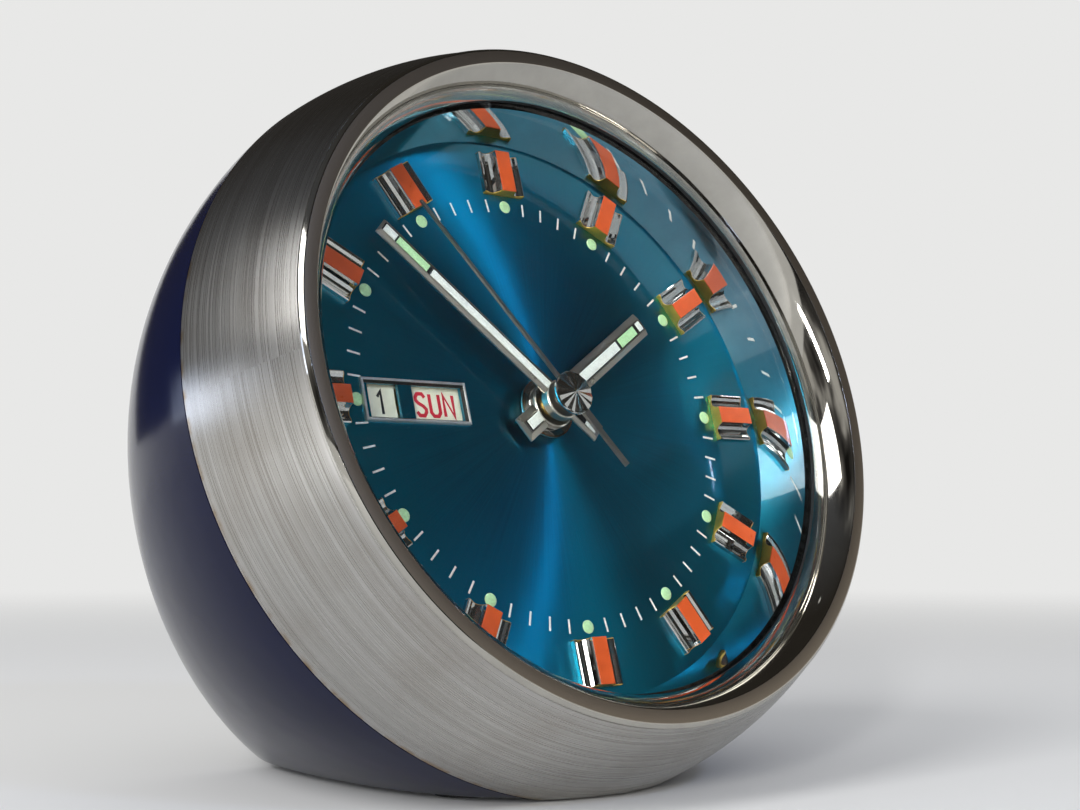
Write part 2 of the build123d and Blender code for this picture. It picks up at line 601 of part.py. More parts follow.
def date_ring():
    tooth_top = DISC_TOP - DAY_DISC_THICK - 0.1
    ring = tube(DATE_RING_R, DATE_RING_INNER_R, DISC_BOTTOM, DISC_TOP)
    teeth = rod(DATE_RING_INNER_R, DISC_BOTTOM, tooth_top)
    return ring + (teeth - wedge_teeth(DATE_COUNT, DATE_RING_INNER_R + 0.2, DATE_RING_INNER_R - DATE_TOOTH,
                                       DISC_BOTTOM, tooth_top))


def day_disc():
    disc = rod(DAY_DISC_R, DISC_TOP - DAY_DISC_THICK, DISC_TOP)
    star = wedge_teeth(DAY_COUNT, DAY_STAR_R - 1.6, DAY_STAR_R, DISC_BOTTOM, DISC_TOP - DAY_DISC_THICK)
    return (disc + star) - rod(CALENDAR_HUB_R + RUN, DISC_BOTTOM, DISC_TOP)


STUD_R = 0.8
STUD_TOP_DRIVER = -2.2


def date_driver():
    top = DISC_TOP - DAY_DISC_THICK - 0.1
    body = gear(DRIVER_TEETH, MODULE_HOUR, *HOUR_WHEEL_Z, DRIVER_AT, DRIVER_PHASE, 0, 5)
    body += rod(2.0, HOUR_WHEEL_Z[1], top, DRIVER_AT)
    for turn in (150, 330):
        body += block(DRIVER_FINGER, 0.8, DISC_BOTTOM, top, polar(DRIVER_FINGER / 2, turn, DRIVER_AT), turn)
    return body - rod(STUD_R + RUN, HOUR_WHEEL_Z[0], STUD_TOP_DRIVER + RUN, DRIVER_AT)


# ---- hands ---------------------------------------------------------------------------------------
def hand(shape, z, angle, boss_r, bore, boss_low, boss_high):
    """A bar hand with bevelled top edges, on a round boss; it points to 12 and is then turned clockwise."""
    tip, tail, width, thick = shape
    bar = block(width, tip + tail, z, z + thick, (0, (tip - tail) / 2))
    bar = chamfer(bar.faces().sort_by(Axis.Z)[-1].edges(), thick * 0.4)
    body = bar + rod(boss_r, boss_low, boss_high)
    return Rot(0, 0, -angle) * (body - rod(bore, boss_low - 1, z + thick + 3))


def hour_hand():
    low, high = HOUR_HAND_Z - 0.2, HOUR_HAND_Z + HOUR_HAND[3]
    return hand(HOUR_HAND, HOUR_HAND_Z, HOUR_ANGLE, HOUR_BOSS_R, HOUR_PIPE_R, low, high)


def minute_hand():
    low, high = MINUTE_HAND_Z - 0.6, MINUTE_HAND_Z + MINUTE_HAND[3]
    return hand(MINUTE_HAND, MINUTE_HAND_Z, MINUTE_ANGLE, MINUTE_BOSS_R, CANNON_R, low, high)


def alarm_hand():
    high = ALARM_HAND_Z + ALARM_HAND[3]
    body = rod(ALARM_BOSS_R, ALARM_HAND_Z, high)
    body += block(ALARM_HAND[2], ALARM_HAND[0], ALARM_HAND_Z, high, (0, ALARM_HAND[0] / 2))
    return Rot(0, 0, -ALARM_ANGLE) * (body - rod(ALARM_PIPE_R, ALARM_HAND_Z, high))


def seconds_hand():
    z0, z1 = SECOND_HAND_Z, SECOND_HAND_Z + SECOND_THICK
    needle = prism([(-0.4, 0), (-0.25, SECOND_TIP), (0.25, SECOND_TIP), (0.4, 0)], z0, z1)
    tail = block(1.6, SECOND_TAIL_STEP, z0, z1, (0, -SECOND_TAIL_STEP / 2))
    thin = block(1.0, SECOND_TAIL - SECOND_TAIL_STEP, z0, z1, (0, -(SECOND_TAIL + SECOND_TAIL_STEP) / 2))
    body = needle + tail + thin + rod(2.4, z0, z1) + rod(1.1, z0 - 0.7, z0)
    return Rot(0, 0, -SECOND_ANGLE) * (body - rod(SECOND_ARBOR_R, z0 - 1, z1))


CAP_Z = SECOND_HAND_Z + SECOND_THICK


def seconds_cap():
    return turned((0, CAP_Z), (CAP_R, CAP_Z), (CAP_R, CAP_Z + 0.35), (0, CAP_Z + CAP_HEIGHT))


# ---- plates --------------------------------------------------------------------------------------
BRIDGE_LEGS = ((1.5, 14.0), (-5.0, -13.0))
BRIDGE_LEG_R = 1.8
PIVOTS = (THIRD_AT, ESCAPE_AT, LEVER_AT, HAMMER_WHEEL_AT)
BALANCE_SCREW_R = 1.5
SPRING_STUD_R = 1.0
TIME_STUD_AT = polar(13.0, -60, TIME_AT)
ALARM_STUD_AT = polar(8.9, 200, ALARM_AT)
HAMMER_ARBOR_R = 0.8
BELL_POST_R = 1.5
HAIR_STUD_AT = polar(HAIRSPRING_R + 0.45, 0, BALANCE_AT)


def front_plate():
    z0, z1 = FRONT_PLATE_Z, FRONT_FACE_Z
    plate = rod(FRONT_PLATE_R, z0, z1) - rod(CENTRE_ARBOR_R + RUN, z0, z1)
    for at in PIVOTS + (HAMMER_AT,):
        plate -= rod(PIVOT_R + RUN, z0, z1, at)
    for at in (TIME_AT, ALARM_AT, SET_AT, ALARM_SET_AT):
        plate -= rod(SET_ARBOR_R + RUN, z0, z1, at)
    for at in PILLARS:
        plate -= rod(SCREW_R, z0, z1, at)
    plate -= rod(BALANCE_SCREW_R, z0, z1, BALANCE_AT)
    plate += rod(STUD_R, z1, MINUTE_PINION_Z[1] - 0.1, MINUTE_WHEEL_AT)
    plate += rod(STUD_R, z1, STUD_TOP_DRIVER, DRIVER_AT)
    return plate + rod(SPRING_STUD_R, z0, ALARM_SPRING_Z[0], ALARM_STUD_AT)


def rear_plate():
    z0, z1 = REAR_FACE_Z, REAR_PLATE_Z
    plate = rod(REAR_PLATE_R, z0, z1)
    for at in PIVOTS + ((0.0, 0.0),):
        plate -= rod(PIVOT_R + RUN, z0, z1, at)
    for at in (TIME_AT, ALARM_AT):
        plate -= rod(KEY_ARBOR_R + RUN, z0, z1, at)
    for at in (SET_AT, ALARM_SET_AT):
        plate -= rod(SET_ARBOR_R + RUN, z0, z1, at)
    for at in PILLARS:
        plate -= rod(SCREW_R, z0, z1, at)
    plate -= rod(HAMMER_ARBOR_R + RUN, z0, z1, HAMMER_AT)
    plate -= rod(STOP_R + RUN, z0, z1, STOP_AT)
    plate -= rod(BALANCE_SCREW_R, z0, z1, BALANCE_AT)
    plate += rod(SPRING_STUD_R, z1, TIME_SPRING_Z[1], TIME_STUD_AT)
    return plate + block(1.0, 1.2, z1, HAIRSPRING_Z[1], HAIR_STUD_AT)


def plate_pillars():
    depth = 4.0
    pillars = []
    for at in PILLARS:
        pillar = rod(PILLAR_R, REAR_PLATE_Z, FRONT_PLATE_Z, at)
        pillar -= rod(SCREW_R, REAR_PLATE_Z, REAR_PLATE_Z + depth, at)
        pillars.append(pillar - rod(SCREW_R, FRONT_PLATE_Z - depth, FRONT_PLATE_Z, at))
    return group(pillars)


def pillar_screws():
    shank = PLATE_THICK + 3.6
    front = [slotted_screw(at, FRONT_FACE_Z, 1, shank) for at in PILLARS]
    return group(front + [slotted_screw(at, REAR_FACE_Z, -1, shank) for at in PILLARS])


def centre_bridge():
    z0, z1 = BRIDGE_Z
    body = rod(3.2, z0, z1)
    for x, y in BRIDGE_LEGS:
        reach, turn = hypot(x, y), degrees(atan2(y, x))
        body += block(reach, 3.2, z0, z1, (x / 2, y / 2), turn)
        body += rod(BRIDGE_LEG_R, z0, FRONT_PLATE_Z, (x, y))
    return body - rod(CENTRE_ARBOR_R + RUN, z0, z1)


# ---- motion works --------------------------------------------------------------------------------
def cannon_pinion():
    body = gear(CANNON_TEETH, MODULE_MOTION, *CANNON_TEETH_Z)
    body += rod(CANNON_R, CANNON_TEETH_Z[0], MINUTE_HAND_Z + MINUTE_HAND[3] + 0.1)
    return body - rod(CENTRE_ARBOR_R + RUN, CANNON_TEETH_Z[0], MINUTE_HAND_Z + 2)


def minute_wheel():
    wheel = gear(MINUTE_WHEEL_TEETH, MODULE_MOTION, *MINUTE_WHEEL_Z, MINUTE_WHEEL_AT, MINUTE_WHEEL_PHASE)
    pinion = gear(MINUTE_PINION_TEETH, MODULE_HOUR, *MINUTE_PINION_Z, MINUTE_WHEEL_AT, 0)
    return wheel + pinion - rod(STUD_R + RUN, MINUTE_WHEEL_Z[0], MINUTE_PINION_Z[1], MINUTE_WHEEL_AT)


def hour_wheel():
    body = gear(HOUR_WHEEL_TEETH, MODULE_HOUR, *HOUR_WHEEL_Z, (0, 0), HOUR_WHEEL_PHASE)
    body += rod(HOUR_PIPE_R, HOUR_WHEEL_Z[0], HOUR_HAND_Z + HOUR_HAND[3] + 0.35)
    return body - rod(CANNON_R + RUN, HOUR_WHEEL_Z[0], HOUR_HAND_Z + 4)


def alarm_wheel():
    body = gear(ALARM_WHEEL_TEETH, MODULE_HOUR, *ALARM_WHEEL_Z)
    body += rod(ALARM_PIPE_R, ALARM_WHEEL_Z[0], ALARM_HAND_Z + ALARM_HAND[3] + 0.15)
    return body - rod(HOUR_PIPE_R + RUN, ALARM_WHEEL_Z[0], ALARM_HAND_Z + 4)


def setting_arbor(at, teeth, module, levels, phase):
    """A pinion on a long arbor that runs back through both plates and the cover to its knob."""
    knob_end = COVER_Z - KNOB_GAP - KNOB_HEIGHT + 1.0
    return gear(teeth, module, *levels, at, phase) + rod(SET_ARBOR_R, levels[1], knob_end, at)


def set_arbor():
    return setting_arbor(SET_AT, SET_PINION_TEETH, MODULE_MOTION, SET_PINION_Z, SET_PHASE)


def alarm_set_arbor():
    return setting_arbor(ALARM_SET_AT, ALARM_SET_TEETH, MODULE_HOUR, ALARM_SET_PINION_Z, ALARM_SET_PHASE)


def knob(at):
    front, back = COVER_Z - KNOB_GAP, COVER_Z - KNOB_GAP - KNOB_HEIGHT
    body = rod(KNOB_R, back, front, at)
    body = chamfer(body.faces().sort_by(Axis.Z)[0].edges(), 0.5)
    for i in range(KNOB_GRIPS):
        body -= rod(0.45, back - 1, front + 1, polar(KNOB_R + 0.15, i * 360 / KNOB_GRIPS, at))
    return body - rod(SET_ARBOR_R, back + 1.0, front, at)


def set_knob():
    return knob(SET_AT)


def alarm_set_knob():
    return knob(ALARM_SET_AT)


# ---- going train ---------------------------------------------------------------------------------
def centre_wheel():
    body = gear(CENTRE_TEETH, MODULE_CENTRE, *CENTRE_WHEEL_Z, spokes=5)
    body += gear(CENTRE_PINION_TEETH, MODULE_GREAT, *CENTRE_PINION_Z, (0, 0), CENTRE_PINION_PHASE)
    body += rod(CENTRE_ARBOR_R, BRIDGE_Z[0], MINUTE_HAND_Z + 1.4)
    return body - rod(SECOND_ARBOR_R + RUN, BRIDGE_Z[0], MINUTE_HAND_Z + 2)


def pivoted(at, front=FRONT_PLATE_Z, rear=REAR_PLATE_Z):
    """An arbor between the plates, with a thinner pivot in each."""
    body = rod(ARBOR_R, rear + 0.1, front - 0.1, at)
    return body + rod(PIVOT_R, rear - PLATE_THICK * 0.9, front + PLATE_THICK * 0.9, at)


def third_wheel():
    body = pivoted(THIRD_AT) + gear(THIRD_TEETH, MODULE_THIRD, *THIRD_WHEEL_Z, THIRD_AT, 0, 0, 5)
    return body + gear(THIRD_PINION_TEETH, MODULE_CENTRE, *THIRD_PINION_Z, THIRD_AT, THIRD_PINION_PHASE)


def seconds_arbor():
    body = rod(SECOND_ARBOR_R, REAR_PLATE_Z + 0.1, CAP_Z)
    body += rod(PIVOT_R, REAR_PLATE_Z - PLATE_THICK * 0.9, REAR_PLATE_Z + 0.1)
    return body + gear(FOURTH_PINION_TEETH, MODULE_THIRD, *FOURTH_PINION_Z, (0, 0), FOURTH_PINION_PHASE)


def fourth_wheel():
    body = gear(FOURTH_TEETH, MODULE_FOURTH, *FOURTH_WHEEL_Z, spokes=5)
    body += rod(1.5, FOURTH_WHEEL_Z[0] - 0.8, FOURTH_WHEEL_Z[1] + 0.8)
    return body - rod(SECOND_ARBOR_R, FOURTH_WHEEL_Z[0] - 1, FOURTH_WHEEL_Z[1] + 1)


def pointed_wheel(count, tip_r, root_r, z0, z1, at, lean=0.35):
    """A wheel with leaning pointed teeth, for a ratchet or an escape wheel."""
    points = []
    for i in range(count):
        points.append(polar(tip_r, i * 360 / count, at))
        points.append(polar(root_r, (i + lean) * 360 / count, at))
    return prism(points, z0, z1)


def escape_wheel():
    wheel = pointed_wheel(ESCAPE_TEETH, ESCAPE_R, ESCAPE_R - 1.1, *ESCAPE_WHEEL_Z, ESCAPE_AT)
    wheel -= spoke_windows(ESCAPE_R - 1.8, 4, *ESCAPE_WHEEL_Z, ESCAPE_AT, 1.3, 0.8)
    pinion = gear(ESCAPE_PINION_TEETH, MODULE_FOURTH, *ESCAPE_PINION_Z, ESCAPE_AT, ESCAPE_PINION_PHASE)
    return pivoted(ESCAPE_AT) + wheel + pinion


PALLET_ANGLE = 50.0         # pallet pins stand this far each side of the line of centres
PALLET_RING = 5.4
PALLET_PIN_R = 0.25
IMPULSE_RING = 2.0
FORK_REACH = BALANCE_REACH - IMPULSE_RING - 0.4


def bar_between(start, end, width, z0, z1):
    dx, dy = end[0] - start[0], end[1] - start[1]
    middle = ((start[0] + end[0]) / 2, (start[1] + end[1]) / 2)
    return block(hypot(dx, dy) + width, width, z0, z1, middle, degrees(atan2(dy, dx)))


def pallet_lever():
    z0, z1 = LEVER_Z
    body = pivoted(LEVER_AT) + rod(1.4, z0, z1, LEVER_AT)
    for side in (-1, 1):
        pin = polar(PALLET_RING, ESCAPE_DIR + side * PALLET_ANGLE, ESCAPE_AT)
        body += bar_between(LEVER_AT, pin, 0.9, z0, z1)
        body += rod(PALLET_PIN_R, z1, ESCAPE_WHEEL_Z[1] + 0.2, pin)
    tip = FORK_REACH
    body += block(1.0, tip, z0, z1, (LEVER_AT[0], LEVER_AT[1] - tip / 2))
    body += block(2.6, 1.6, z0, z1, (LEVER_AT[0], LEVER_AT[1] - tip + 0.8))
    return body - block(0.9, 1.0, z0, z1, (LEVER_AT[0], LEVER_AT[1] - tip + 0.5))


BALANCE_PIVOT_R = 0.4


def balance_wheel():
    z0, z1 = BALANCE_Z
    body = tube(BALANCE_R, BALANCE_R - 1.0, z0, z1, BALANCE_AT)
    body += block(BALANCE_R * 2 - 1, 1.3, z0, z1, BALANCE_AT) + rod(1.8, z0, z1, BALANCE_AT)
    body += rod(ARBOR_R, BALANCE_CUPS[0] + 0.5, BALANCE_CUPS[1] - 0.5, BALANCE_AT)
    body += rod(BALANCE_PIVOT_R, BALANCE_ENDS[0], BALANCE_ENDS[1], BALANCE_AT)
    body += rod(IMPULSE_RING + 0.5, *ROLLER_Z, BALANCE_AT)
    return body + rod(PALLET_PIN_R, ROLLER_Z[0], LEVER_Z[0] + 0.1, polar(IMPULSE_RING, 90, BALANCE_AT))


def balance_pivot_screws():
    front = rod(BALANCE_SCREW_R, BALANCE_CUPS[1], FRONT_FACE_Z, BALANCE_AT)
    front -= rod(BALANCE_PIVOT_R + RUN, BALANCE_CUPS[1], BALANCE_ENDS[1] + 0.1, BALANCE_AT)
    rear = rod(BALANCE_SCREW_R, BALANCE_CUPS[0], REAR_FACE_Z - 2.2, BALANCE_AT)
    rear -= rod(BALANCE_PIVOT_R + RUN, BALANCE_CUPS[0], BALANCE_ENDS[0] - 0.1, BALANCE_AT)
    rear -= block(4, 0.6, REAR_FACE_Z - 2.2, REAR_FACE_Z - 1.6, BALANCE_AT, 20)
    return group([front, rear])


def spiral(at, inner_r, outer_r, turns, strip, z0, z1, end_angle):
    """A flat spiral strip of half-circle coils that winds inward clockwise from its outer end at end_angle."""
    halves = turns * 2
    step = (outer_r - inner_r) / halves

    def coil(offset):
        arcs = []
        for i in range(halves):
            start = polar(inner_r + offset + step * i, end_angle + (i - halves) * 180, at)
            end = polar(inner_r + offset + step * (i + 1), end_angle + (i - halves + 1) * 180, at)
            centre = ((start[0] + end[0]) / 2, (start[1] + end[1]) / 2)
            crown = polar(inner_r + offset + step * (i + 0.5), end_angle + (i - halves) * 180 + 90, centre)
            arcs.append(ThreePointArc(start, crown, end))
        return arcs

    outside, inside = coil(strip / 2), coil(-strip / 2)
    ends = [Line(outside[0] @ 0, inside[0] @ 0), Line(outside[-1] @ 1, inside[-1] @ 1)]
    return Pos(0, 0, z0) * extrude(make_face(Curve() + outside + inside + ends), z1 - z0)


def hairspring():
    z0, z1 = HAIRSPRING_Z
    strip = spiral(BALANCE_AT, ARBOR_R + 0.75, HAIRSPRING_R - 0.1, 5, 0.14, z0, z1, 0)
    return strip + tube(ARBOR_R + 0.7, ARBOR_R + RUN, z0, z1, BALANCE_AT)


def mainspring(at, outer_r, turns, strip, levels, stud_at):
    z0, z1 = levels[0] + 0.15, levels[1] - 0.15
    dx, dy = stud_at[0] - at[0], stud_at[1] - at[1]
    angle = degrees(atan2(dy, dx))
    eye_r = SPRING_STUD_R + RUN
    body = spiral(at, KEY_ARBOR_R + 0.65, outer_r, turns, strip, z0, z1, angle)
    body += tube(KEY_ARBOR_R + 0.7, KEY_ARBOR_R + RUN, z0, z1, at)
    gap = hypot(dx, dy) - eye_r - outer_r
    body += block(gap, strip * 1.6, z0, z1, polar(outer_r + gap / 2 - 0.2, angle, at), angle)
    return body + tube(eye_r + 0.5, eye_r, z0, z1, stud_at)


def time_mainspring():
    return mainspring(TIME_AT, 10.8, 8, 0.4, TIME_SPRING_Z, TIME_STUD_AT)


def alarm_mainspring():
    return mainspring(ALARM_AT, 6.9, 5, 0.35, ALARM_SPRING_Z, ALARM_STUD_AT)


RATCHET_R = 5.0
CLICK_RING = 7.4            # click studs stand this far from their arbor
CLICK_STUD_R = 0.7


def winding_arbor(at, ratchet_levels):
    body = rod(KEY_ARBOR_R, KEY_END_Z, FRONT_PLATE_Z - 0.1, at)
    body += rod(SET_ARBOR_R, FRONT_PLATE_Z - 0.1, FRONT_FACE_Z - 0.1, at)
    return body + pointed_wheel(RATCHET_TEETH, RATCHET_R, RATCHET_R - 0.8, *ratchet_levels, at)


def time_arbor():
    return winding_arbor(TIME_AT, TIME_RATCHET_Z)


def alarm_arbor():
    return winding_arbor(ALARM_AT, ALARM_RATCHET_Z)


def great_wheel(at, teeth, ratchet_levels, click_angle):
    """A wheel that turns freely on its winding arbor and carries the click on a stud."""
    body = gear(teeth, MODULE_GREAT, *GREAT_WHEEL_Z, at) - rod(KEY_ARBOR_R + RUN, *GREAT_WHEEL_Z, at)
    near = GREAT_WHEEL_Z[1] if ratchet_levels[0] > GREAT_WHEEL_Z[0] else GREAT_WHEEL_Z[0]
    far = ratchet_levels[1] if ratchet_levels[0] > GREAT_WHEEL_Z[0] else ratchet_levels[0]
    return body + rod(CLICK_STUD_R, near, far, polar(CLICK_RING, click_angle, at))


def time_great_wheel():
    return great_wheel(TIME_AT, GREAT_TEETH, TIME_RATCHET_Z, TIME_CLICK_ANGLE)


def alarm_great_wheel():
    return great_wheel(ALARM_AT, ALARM_GREAT_TEETH, ALARM_RATCHET_Z, ALARM_CLICK_ANGLE)


TIME_CLICK_ANGLE = 60.0
ALARM_CLICK_ANGLE = 120.0


def click(at, angle, levels):
    """A pawl beside its ratchet; its nose points along the ratchet's rim, just clear of the teeth."""
    z0, z1 = levels[0] + 0.1, levels[1] - 0.1
    stud = polar(CLICK_RING, angle, at)
    nose = polar(RATCHET_R + 0.2, angle - 38, at)
    heel = polar(RATCHET_R + 1.5, angle - 26, at)
    side = (nose[0] - stud[0], nose[1] - stud[1])
    out = (side[1] / hypot(*side), -side[0] / hypot(*side))
    root_in = (stud[0] + out[0] * 1.2, stud[1] + out[1] * 1.2)
    root_out = (stud[0] - out[0] * 1.2, stud[1] - out[1] * 1.2)
    body = prism([root_in, nose, heel, root_out], z0, z1) + rod(1.4, z0, z1, stud)
    return body - rod(CLICK_STUD_R + RUN, z0, z1, stud)


def time_click():
    return click(TIME_AT, TIME_CLICK_ANGLE, TIME_RATCHET_Z)


def alarm_click():
    return click(ALARM_AT, ALARM_CLICK_ANGLE, ALARM_RATCHET_Z)


def wing_key(at, turn):
    """A two-winged key with a pierced lobe each side of its socket."""
    front = COVER_Z - KNOB_GAP
    back = front - 10.0
    lobe_r = KEY_HEIGHT / 2
    lobe_x = KEY_SPAN / 2 - lobe_r
    wing = Box(lobe_x * 2, KEY_THICK, KEY_HEIGHT)
    for side in (-1, 1):
        wing += Pos(side * lobe_x, 0, 0) * Rot(90, 0, 0) * Cylinder(lobe_r, KEY_THICK)
        wing -= Pos(side * (lobe_x + 1.0), 0, 0) * Rot(90, 0, 0) * Cylinder(1.5, KEY_THICK)
    wing = Pos(at[0], at[1], back - lobe_r + 4.6) * Rot(0, 0, turn) * wing
    body = wing + rod(2.8, back, front, at)
    return body - rod(KEY_ARBOR_R, KEY_END_Z, front, at)


def time_key():
    return wing_key(TIME_AT, 70)


def alarm_key():
    return wing_key(ALARM_AT, 20)


# ---- alarm ---------------------------------------------------------------------------------------
def hammer_wheel():
    wheel = pointed_wheel(13, HAMMER_WHEEL_R, HAMMER_WHEEL_R - 1.2, *HAMMER_WHEEL_Z, HAMMER_WHEEL_AT, 0.5)
    pinion = gear(HAMMER_PINION_TEETH, MODULE_GREAT, *HAMMER_PINION_Z, HAMMER_WHEEL_AT, HAMMER_PINION_PHASE)
    return pivoted(HAMMER_WHEEL_AT) + wheel + pinion


ANCHOR_ANGLE = 45.0
ANCHOR_RING = 6.6
ANCHOR_PIN_R = 0.3
HAMMER_ARM = 9.0
HAMMER_GAP = 0.6            # head to bell at rest


def hammer_head_at():
    """Where the head's circle and the arm's circle meet, on the side away from the stop button."""
    dx, dy = BELL_AT[0] - HAMMER_AT[0], BELL_AT[1] - HAMMER_AT[1]
    apart = hypot(dx, dy)
    reach = BELL_R + HAMMER_HEAD_R + HAMMER_GAP
    along = (apart ** 2 + HAMMER_ARM ** 2 - reach ** 2) / (2 * apart)
    across = sqrt(HAMMER_ARM ** 2 - along ** 2)
    ux, uy = dx / apart, dy / apart
    return (HAMMER_AT[0] + ux * along - uy * across, HAMMER_AT[1] + uy * along + ux * across)


def hammer():
    body = rod(ARBOR_R, REAR_PLATE_Z + 0.6, FRONT_PLATE_Z - 0.1, HAMMER_AT)
    body += rod(PIVOT_R, FRONT_PLATE_Z - 0.1, FRONT_FACE_Z - 0.1, HAMMER_AT)
    body += rod(HAMMER_ARBOR_R, HAMMER_ARM_Z[0], REAR_PLATE_Z + 0.6, HAMMER_AT)
    body += rod(1.5, *ANCHOR_Z, HAMMER_AT)
    for side in (-1, 1):
        pin = polar(ANCHOR_RING, HAMMER_DIR + side * ANCHOR_ANGLE, HAMMER_WHEEL_AT)
        body += bar_between(HAMMER_AT, pin, 1.2, *ANCHOR_Z)
        body += rod(ANCHOR_PIN_R, HAMMER_WHEEL_Z[0] - 0.2, ANCHOR_Z[0], pin)
    head = hammer_head_at()
    body += rod(1.6, *HAMMER_ARM_Z, HAMMER_AT) + bar_between(HAMMER_AT, head, 1.2, *HAMMER_ARM_Z)
    return body + rod(HAMMER_HEAD_R, HAMMER_ARM_Z[0] - 0.8, HAMMER_ARM_Z[1] + 0.8, head)


def bell():
    """The bell, its post on the rear plate and the nut that holds it."""
    floor = BELL_Z - BELL_WALL
    mouth_r, mouth = BELL_R - BELL_WALL, BELL_Z - BELL_DEPTH
    outside = ((0, BELL_Z), (BELL_R - 4, BELL_Z), (BELL_R - 1.2, BELL_Z - 1.2), (BELL_R, BELL_Z - 3.4))
    inside = ((mouth_r, BELL_Z - 3.5), (BELL_R - 1.9, BELL_Z - 1.8), (BELL_R - 4.3, floor), (0, floor))
    shape = turned(*outside, (BELL_R, mouth), (mouth_r, mouth), *inside)
    shape = Pos(BELL_AT[0], BELL_AT[1], 0) * (shape - rod(SCREW_R, floor, BELL_Z))
    post = rod(BELL_POST_R, BELL_Z, REAR_FACE_Z, BELL_AT) + rod(SCREW_R, floor - 1.6, BELL_Z, BELL_AT)
    nut = Pos(BELL_AT[0], BELL_AT[1], floor - 1.4) * extrude(RegularPolygon(2.2, 6), 1.4)
    return group([shape, post, nut - rod(SCREW_R, floor - 1.6, floor, BELL_AT)])


def stop_button():
    head_front = COVER_Z - KNOB_GAP - STOP_TRAVEL
    head_back = head_front - 3.0
    body = rod(STOP_R, head_front, REAR_PLATE_Z + 1.0, STOP_AT)
    head = rod(STOP_HEAD_R, head_back, head_front, STOP_AT)
    return body + chamfer(head.faces().sort_by(Axis.Z)[0].edges(), 0.5)


def regulator_lever():
    z1 = REAR_FACE_Z - 0.1
    z0 = z1 - 0.7
    tip = polar(REGULATOR_R, 90, BALANCE_AT)
    body = rod(2.9, z0, z1, BALANCE_AT) + bar_between(BALANCE_AT, tip, 1.4, z0, z1)
    body += rod(0.6, COVER_Z - 1.6, z0, tip)
    return body - rod(BALANCE_SCREW_R + RUN, z0, z1, BALANCE_AT)


# ---- export --------------------------------------------------------------------------------------
PIECES = (front_ring, front_bezel, crystal_gasket, crystal, reflector_ring, dial_support_ring,
          rear_shell, back_cover, back_cover_screws, case_posts, base_feet, dial_plate, hour_markers,
          window_frame, calendar_plate, date_ring, day_disc, date_driver, front_plate, rear_plate,
          plate_pillars, pillar_screws, centre_bridge, balance_pivot_screws, seconds_arbor, fourth_wheel,
          seconds_hand, seconds_cap, third_wheel, centre_wheel, time_great_wheel, time_mainspring,
          time_arbor, time_key, time_click, escape_wheel, pallet_lever, balance_wheel, hairspring,
          regulator_lever, cannon_pinion, minute_hand, minute_wheel, hour_wheel, hour_hand, alarm_wheel,
          alarm_hand, set_arbor, set_knob, alarm_set_arbor, alarm_set_knob, alarm_great_wheel,
          alarm_mainspring, alarm_arbor, alarm_key, alarm_click, hammer_wheel, hammer, bell, stop_button)


def place(pieces):
    """Tilt every piece with the dial, then centre the footprint on the origin; the feet stand on Z 0."""
    stood = {name: DIAL_TO_ROW * piece for name, piece in pieces.items()}
    box = group(stood.values()).bounding_box()
    shift = Pos(0, -(box.min.Y + box.max.Y) / 2, 0)
    return {name: shift * piece for name, piece in stood.items()}, shift


def main():
    os.makedirs("parts", exist_ok=True)
    placed, shift = place({make.__name__: make() for make in PIECES})
    for name, piece in placed.items():
        export_step(piece, f"parts/{name}.step")
    print("dial frame moved by", shift.position, "after tilting")


if __name__ == "__main__":
    main()
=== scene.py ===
"""The looks of a wind-up desk alarm clock with a calendar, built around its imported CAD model.

Pieces of the dial side are drawn in the dial's own frame in millimetres: the origin is the dial's centre on
its face, +Y points to 12 o'clock and +Z out of the dial. DIAL then lays them on the model.
"""
import json
from math import atan2, cos, hypot, pi, radians, sin

import bmesh
import bpy
from mathutils import Matrix, Vector


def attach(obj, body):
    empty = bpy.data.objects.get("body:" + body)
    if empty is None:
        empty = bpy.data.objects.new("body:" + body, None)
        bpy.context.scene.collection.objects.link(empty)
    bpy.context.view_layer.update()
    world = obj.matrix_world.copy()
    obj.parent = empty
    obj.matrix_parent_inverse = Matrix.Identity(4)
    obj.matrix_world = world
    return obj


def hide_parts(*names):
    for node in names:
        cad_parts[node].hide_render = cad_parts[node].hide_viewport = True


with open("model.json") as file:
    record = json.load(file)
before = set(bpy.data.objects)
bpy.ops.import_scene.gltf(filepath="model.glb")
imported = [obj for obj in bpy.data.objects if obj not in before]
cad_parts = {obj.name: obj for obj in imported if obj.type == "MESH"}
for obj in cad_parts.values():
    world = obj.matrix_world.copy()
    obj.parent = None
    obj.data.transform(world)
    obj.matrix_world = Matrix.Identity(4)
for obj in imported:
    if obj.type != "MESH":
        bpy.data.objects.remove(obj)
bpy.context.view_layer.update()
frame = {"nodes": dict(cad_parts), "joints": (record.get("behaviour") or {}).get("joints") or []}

MM = 0.001

# ---- the dial's frame, from the joint that the minute hand turns on ----
MINUTE_HAND_LOW = 3.8           # the minute hand's underside, above the dial's face
minute_joint = next(j for j in frame["joints"] if j["name"] == "minute hand turn")
DIAL_OUT = -Vector(minute_joint["axis"])
DIAL_CENTRE = Vector(minute_joint["pos_m"]) - DIAL_OUT * MINUTE_HAND_LOW * MM
DIAL_UP = DIAL_OUT.cross(Vector((1, 0, 0)))
DIAL_TURN = Matrix((Vector((1, 0, 0)), DIAL_UP, DIAL_OUT)).transposed()
DIAL = Matrix.Translation(DIAL_CENTRE) @ DIAL_TURN.to_4x4() @ Matrix.Scale(MM, 4)

